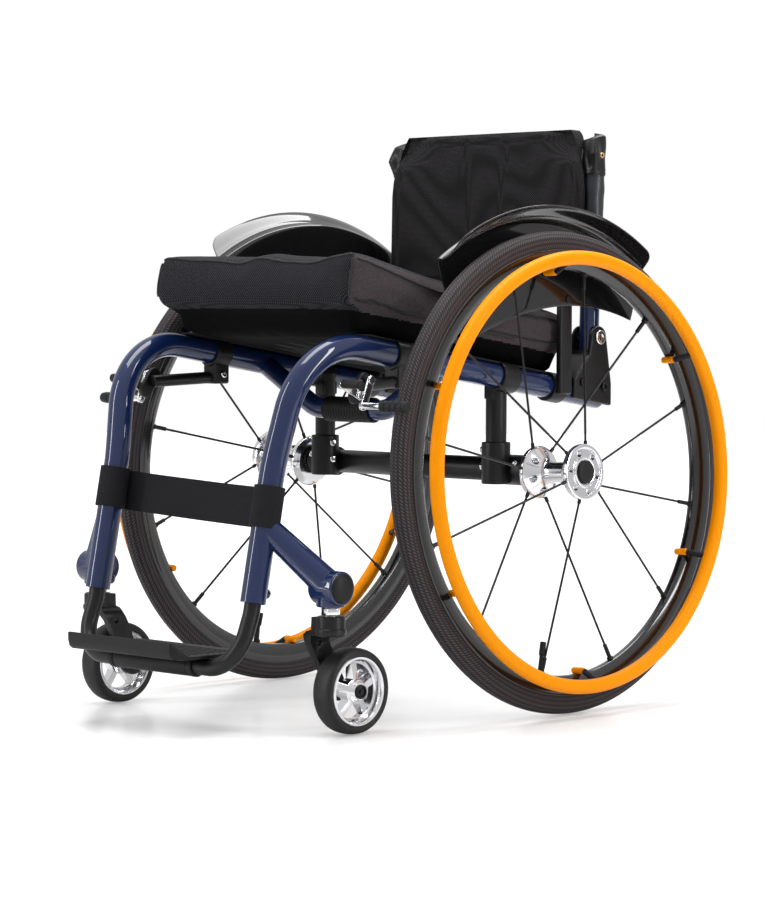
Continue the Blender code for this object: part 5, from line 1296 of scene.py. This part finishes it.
def make_cover():
    """The cloth sleeve on the cane with the hood sewn over its top."""
    low, high = 0.066, 0.207
    rows = []
    for index in range(60):
        share = index / 59.0
        z = low + (high - low) * share
        radius = 0.0143 + 0.0004 * sin(share * 31.0) * sin(share * 9.0)
        cuff = 0.0007 * exp(-((z - 0.07) / 0.0035) ** 2)
        row = []
        for step in range(40):
            angle = 2.0 * pi * step / 40
            crease = 0.00025 * sin(3.0 * angle + share * 14.0)
            size = radius + cuff + crease
            row.append(back_point(CANE_X + size * cos(angle), size * sin(angle), z))
        rows.append(row)
    sleeve = surface("cane_sleeve", rows, False, True)
    thicken(sleeve, 0.0012, -1.0)
    sleeves = pair(sleeve, "backrest", "cane_sleeve", "cane_cover_", sharp=60.0)

    low, high = 0.2045, 0.2588
    levels = 44
    sides = 84
    rows = []
    for index in range(levels + 1):
        share = index / levels
        z = low + (high - low) * share
        over = max(0.0, (z - high + 0.0045) / 0.0045)
        close = sqrt(max(0.0, 1.0 - over * over)) * 0.9 + 0.1 * (1.0 - over)
        swell = max(0.0, 1.0 - abs(z - 0.233) / 0.0275) ** 0.85
        row = []
        for step in range(sides):
            angle = 2.0 * pi * step / sides - pi
            off = degrees(angle) + 45.0
            fold = 0.0105 * swell * exp(-(off / 21.0) ** 2)
            crumple = 0.0006 * sin(z * 150.0 + angle * 3.0) + 0.0004 * sin(z * 95.0 - angle * 2.0)
            hem = 0.0006 * exp(-((z - 0.2075) / 0.0012) ** 2)
            hem += 0.0004 * exp(-((z - 0.2125) / 0.001) ** 2)
            size = (0.0148 + fold + hem + crumple * (1.0 - over)) * close
            tilt = (1.0 - cos(angle - pi / 4.0)) / 2.0
            drop = 0.0075 * tilt * share * share
            row.append(back_point(CANE_X + size * cos(angle), size * sin(angle), z - drop))
        rows.append(row)
    hood = surface("cane_hood", rows, False, True, True)
    pair(hood, "backrest", "black_vinyl", sharp=60.0)
    make_eyelet()


def make_eyelet():
    turn = radians(-8.0)
    out = Vector((cos(turn), sin(turn), 0.0))
    centre = back_point(CANE_X, 0.0, 0.23) + out * 0.0155
    profile = mm(1.6, 1, 2.2, 1.6, 3.4, 1.5, 4, 0.6, 4, -1.2, 1.6, -1.2)
    eyelet = lathe("eyelet", profile, 28, axis_matrix(centre, out))
    pair(eyelet, "backrest", "brass_eyelet", sharp=40.0)
    hole = rod("eyelet_hole", centre - out * 0.0004, centre + out * 0.0005, 0.0017, 16, 0.0001)
    pair(hole, "backrest", "thread")


def back_half_width(z):
    """Half the width of the back cloth at a height above the pivot."""
    points = mm(71, 166.5, 80, 169, 185, 169, 203, 167, 223.5, 162, 240, 156, 255, 149, 263, 143)
    for (z0, x0), (z1, x1) in zip(points, points[1:]):
        if z <= z1:
            return x0 + (x1 - x0) * max(0.0, z - z0) / (z1 - z0)
    return points[-1][1]


def back_sag(x, z, half):
    """How far the cloth bows back between the canes, and its top corners roll back."""
    share = min(1.0, abs(x) / half)
    rise = min(1.0, max(0.0, (z - 0.216) / 0.046))
    side = min(1.0, max(0.0, (abs(x) - 0.085) / 0.062))
    roll = 0.02 * rise * rise * (3.0 - 2.0 * rise) * side * side
    return 0.0022 * (1.0 - share ** 2) + roll


def make_upholstery():
    """The back cloth as one closed pad: thin at its edges, with sewn grooves in its front."""
    low, high = 0.0715, 0.2625
    front_y, rear_y = -0.0262, -0.016
    middle = (front_y + rear_y) / 2.0
    depth = (rear_y - front_y) / 2.0
    lines, columns = 46, 72
    middle_seams = (0.029, 0.037)
    edge_seam = 0.013
    rows = []
    for i in range(lines + 1):
        z = low + (high - low) * i / lines
        half = back_half_width(z)
        near_edge = min(1.0, min(z - low, high - z) / 0.006)
        thin = 1.0 - (1.0 - near_edge) ** 2
        front, rear = [], []
        for j in range(columns + 1):
            u = 2.0 * j / columns - 1.0
            x = half * copysign(1.0 - (1.0 - abs(u)) ** 1.25, u)
            side = sqrt(max(0.0, 1.0 - max(0.0, (abs(x) - half + 0.005) / 0.005) ** 2))
            bulge = depth * (0.18 + 0.82 * thin) * side
            sag = back_sag(x, z, half)
            groove = 0.0
            for seam in middle_seams:
                groove += 0.0014 * exp(-((abs(x) - seam) / 0.0018) ** 2)
            for gap in (abs(x) - half, z - high):
                groove += 0.0012 * exp(-((gap + edge_seam) / 0.0022) ** 2)
            wave = 0.0008 * sin(x * 38.0 + z * 22.0)
            front.append(back_point(x, middle - bulge + groove + sag + wave * side * thin, z))
            rear.append(back_point(x * 0.9999, middle + bulge + min(0.0008, sag), z))
        rows.append(front + rear[::-1])
    panel = surface("back_panel", rows, False, True, True)
    place(panel, "backrest", "back_cloth", "back_upholstery", sharp=60.0)


# Stage, light and camera

def make_world():
    """White behind the chair for the camera; a soft studio, dark below, for all other rays."""
    world = bpy.data.worlds.new("studio")
    bpy.context.scene.world = world
    world.use_nodes = True
    tree = world.node_tree
    tree.nodes.clear()
    wire = tree.links.new
    white = new_node(tree, "Background", WHITE, 1.0)
    studio = new_node(tree, "Background", WHITE, STUDIO_LIGHT)
    ramp = new_node(tree, "ValToRGB")
    low, high = ramp.color_ramp.elements
    low.position, low.color = 0.42, (0.26, 0.26, 0.27, 1.0)
    high.position, high.color = 0.95, WHITE
    coords = new_node(tree, "TexCoord")
    split = new_node(tree, "SeparateXYZ")
    height = new_node(tree, "MapRange", 0.0, -1.0, 1.0)
    wire(coords.outputs["Generated"], split.inputs[0])
    wire(split.outputs["Z"], height.inputs[0])
    wire(height.outputs[0], ramp.inputs[0])
    wire(ramp.outputs["Color"], studio.inputs[0])
    path = new_node(tree, "LightPath")
    seen = new_node(tree, "Math", 0.0, GLOSSY_WHITE, operation="MULTIPLY_ADD")
    clear = new_node(tree, "Math", operation="ADD", use_clamp=True)
    wire(path.outputs["Is Glossy Ray"], seen.inputs[0])
    wire(path.outputs["Is Camera Ray"], seen.inputs[2])
    wire(seen.outputs[0], clear.inputs[0])
    wire(path.outputs["Is Transmission Ray"], clear.inputs[1])
    mix = new_node(tree, "MixShader")
    wire(clear.outputs[0], mix.inputs[0])
    wire(studio.outputs[0], mix.inputs[1])
    wire(white.outputs[0], mix.inputs[2])
    wire(mix.outputs[0], new_node(tree, "OutputWorld").inputs["Surface"])


def make_floor():
    """A white floor that keeps the soft shadow and a faint reflection of the chair.

    For the camera it glows a little, and more far from the chair, so that no horizon shows.
    """
    bm = bmesh.new()
    bmesh.ops.create_circle(bm, cap_ends=True, radius=9.0, segments=64)
    bmesh.ops.translate(bm, verts=bm.verts, vec=(0.0, 0.0, -0.0004))
    floor = from_bmesh("floor", bm, fix=False)
    material = bpy.data.materials.new("floor_white")
    material.use_nodes = True
    tree = material.node_tree
    wire = tree.links.new
    shader = tree.nodes["Principled BSDF"]
    shader.inputs["Base Color"].default_value = (0.92, 0.92, 0.92, 1.0)
    shader.inputs["Roughness"].default_value = 0.22
    coords = new_node(tree, "TexCoord")
    reach = new_node(tree, "VectorMath", operation="LENGTH")
    grow = new_node(tree, "MapRange", 0.0, 1.0, 3.2, FLOOR_GLOW, FAR_GLOW)
    glow = new_node(tree, "Emission", WHITE)
    wire(coords.outputs["Object"], reach.inputs[0])
    wire(reach.outputs["Value"], grow.inputs[0])
    wire(grow.outputs[0], glow.inputs["Strength"])
    both = new_node(tree, "AddShader")
    pick = new_node(tree, "MixShader")
    path = new_node(tree, "LightPath")
    wire(shader.outputs[0], both.inputs[0])
    wire(glow.outputs[0], both.inputs[1])
    wire(path.outputs["Is Camera Ray"], pick.inputs[0])
    wire(shader.outputs[0], pick.inputs[1])
    wire(both.outputs[0], pick.inputs[2])
    wire(pick.outputs[0], tree.nodes["Material Output"].inputs["Surface"])
    floor.data.materials.append(material)


def lamp(name, size, location, target, power):
    data = bpy.data.lights.new(name, "AREA")
    data.shape = "RECTANGLE"
    data.size, data.size_y = size
    data.energy = power
    light = link(name, data)
    light.location = location
    aim = Vector(target) - Vector(location)
    light.rotation_euler = aim.to_track_quat("-Z", "Y").to_euler()


def make_lights():
    lamp("top", (1.0, 3.0), (-0.1, 0.45, 2.4), (-0.1, 0.45, 0.0), 66.0)
    lamp("right", (0.28, 2.2), (2.4, 0.6, 1.3), (0.0, 0.0, 0.35), 30.0)
    lamp("left", (0.28, 2.2), (-1.2, -2.4, 1.3), (0.0, 0.0, 0.35), 28.0)


def make_camera():
    """The photograph's camera, solved from the outlines of both wheels on one floor."""
    yaw, pitch, roll = (radians(angle) for angle in (44.883, 2.451, 0.234))
    data = bpy.data.cameras.new("camera")
    data.sensor_fit = "VERTICAL"
    data.sensor_height = SENSOR_HEIGHT
    data.lens = FOCAL_PIXELS * SENSOR_HEIGHT / PHOTO_HEIGHT
    data.clip_start = 0.1
    data.clip_end = 60.0
    camera = link("camera", data)
    ahead = Vector((-sin(yaw) * cos(pitch), cos(yaw) * cos(pitch), -sin(pitch)))
    right = ahead.cross(Vector((0.0, 0.0, 1.0))).normalized()
    up = right.cross(ahead)
    right_r = right * cos(roll) + up * sin(roll)
    up_r = up * cos(roll) - right * sin(roll)
    turn = Matrix((right_r, up_r, -ahead)).transposed().to_4x4()
    camera.matrix_world = Matrix.Translation((2.77856, -2.75349, 0.48567)) @ turn
    scene = bpy.context.scene
    scene.camera = camera
    scene.view_settings.view_transform = "Standard"


def dress_nodes():
    """Materials for the nodes that show as the part's source has them."""
    for name in ("axle_pin_L", "axle_pin_R"):
        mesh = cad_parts[name].data
        mesh.materials.clear()
        mesh.materials.append(MATERIALS["polished_alloy"])


for make in (make_tyre, make_rim, make_handrim, make_hub, make_button, make_caster_wheel,
             make_caster_fork, make_caster_arm, make_side_frame, make_cross_tube, make_axle_carriers,
             make_footrest, make_calf_strap, make_sling, make_cushion, make_guard, make_receiver,
             make_brake, make_bracket, make_back, dress_nodes, make_world, make_floor, make_lights,
             make_camera):
    make()
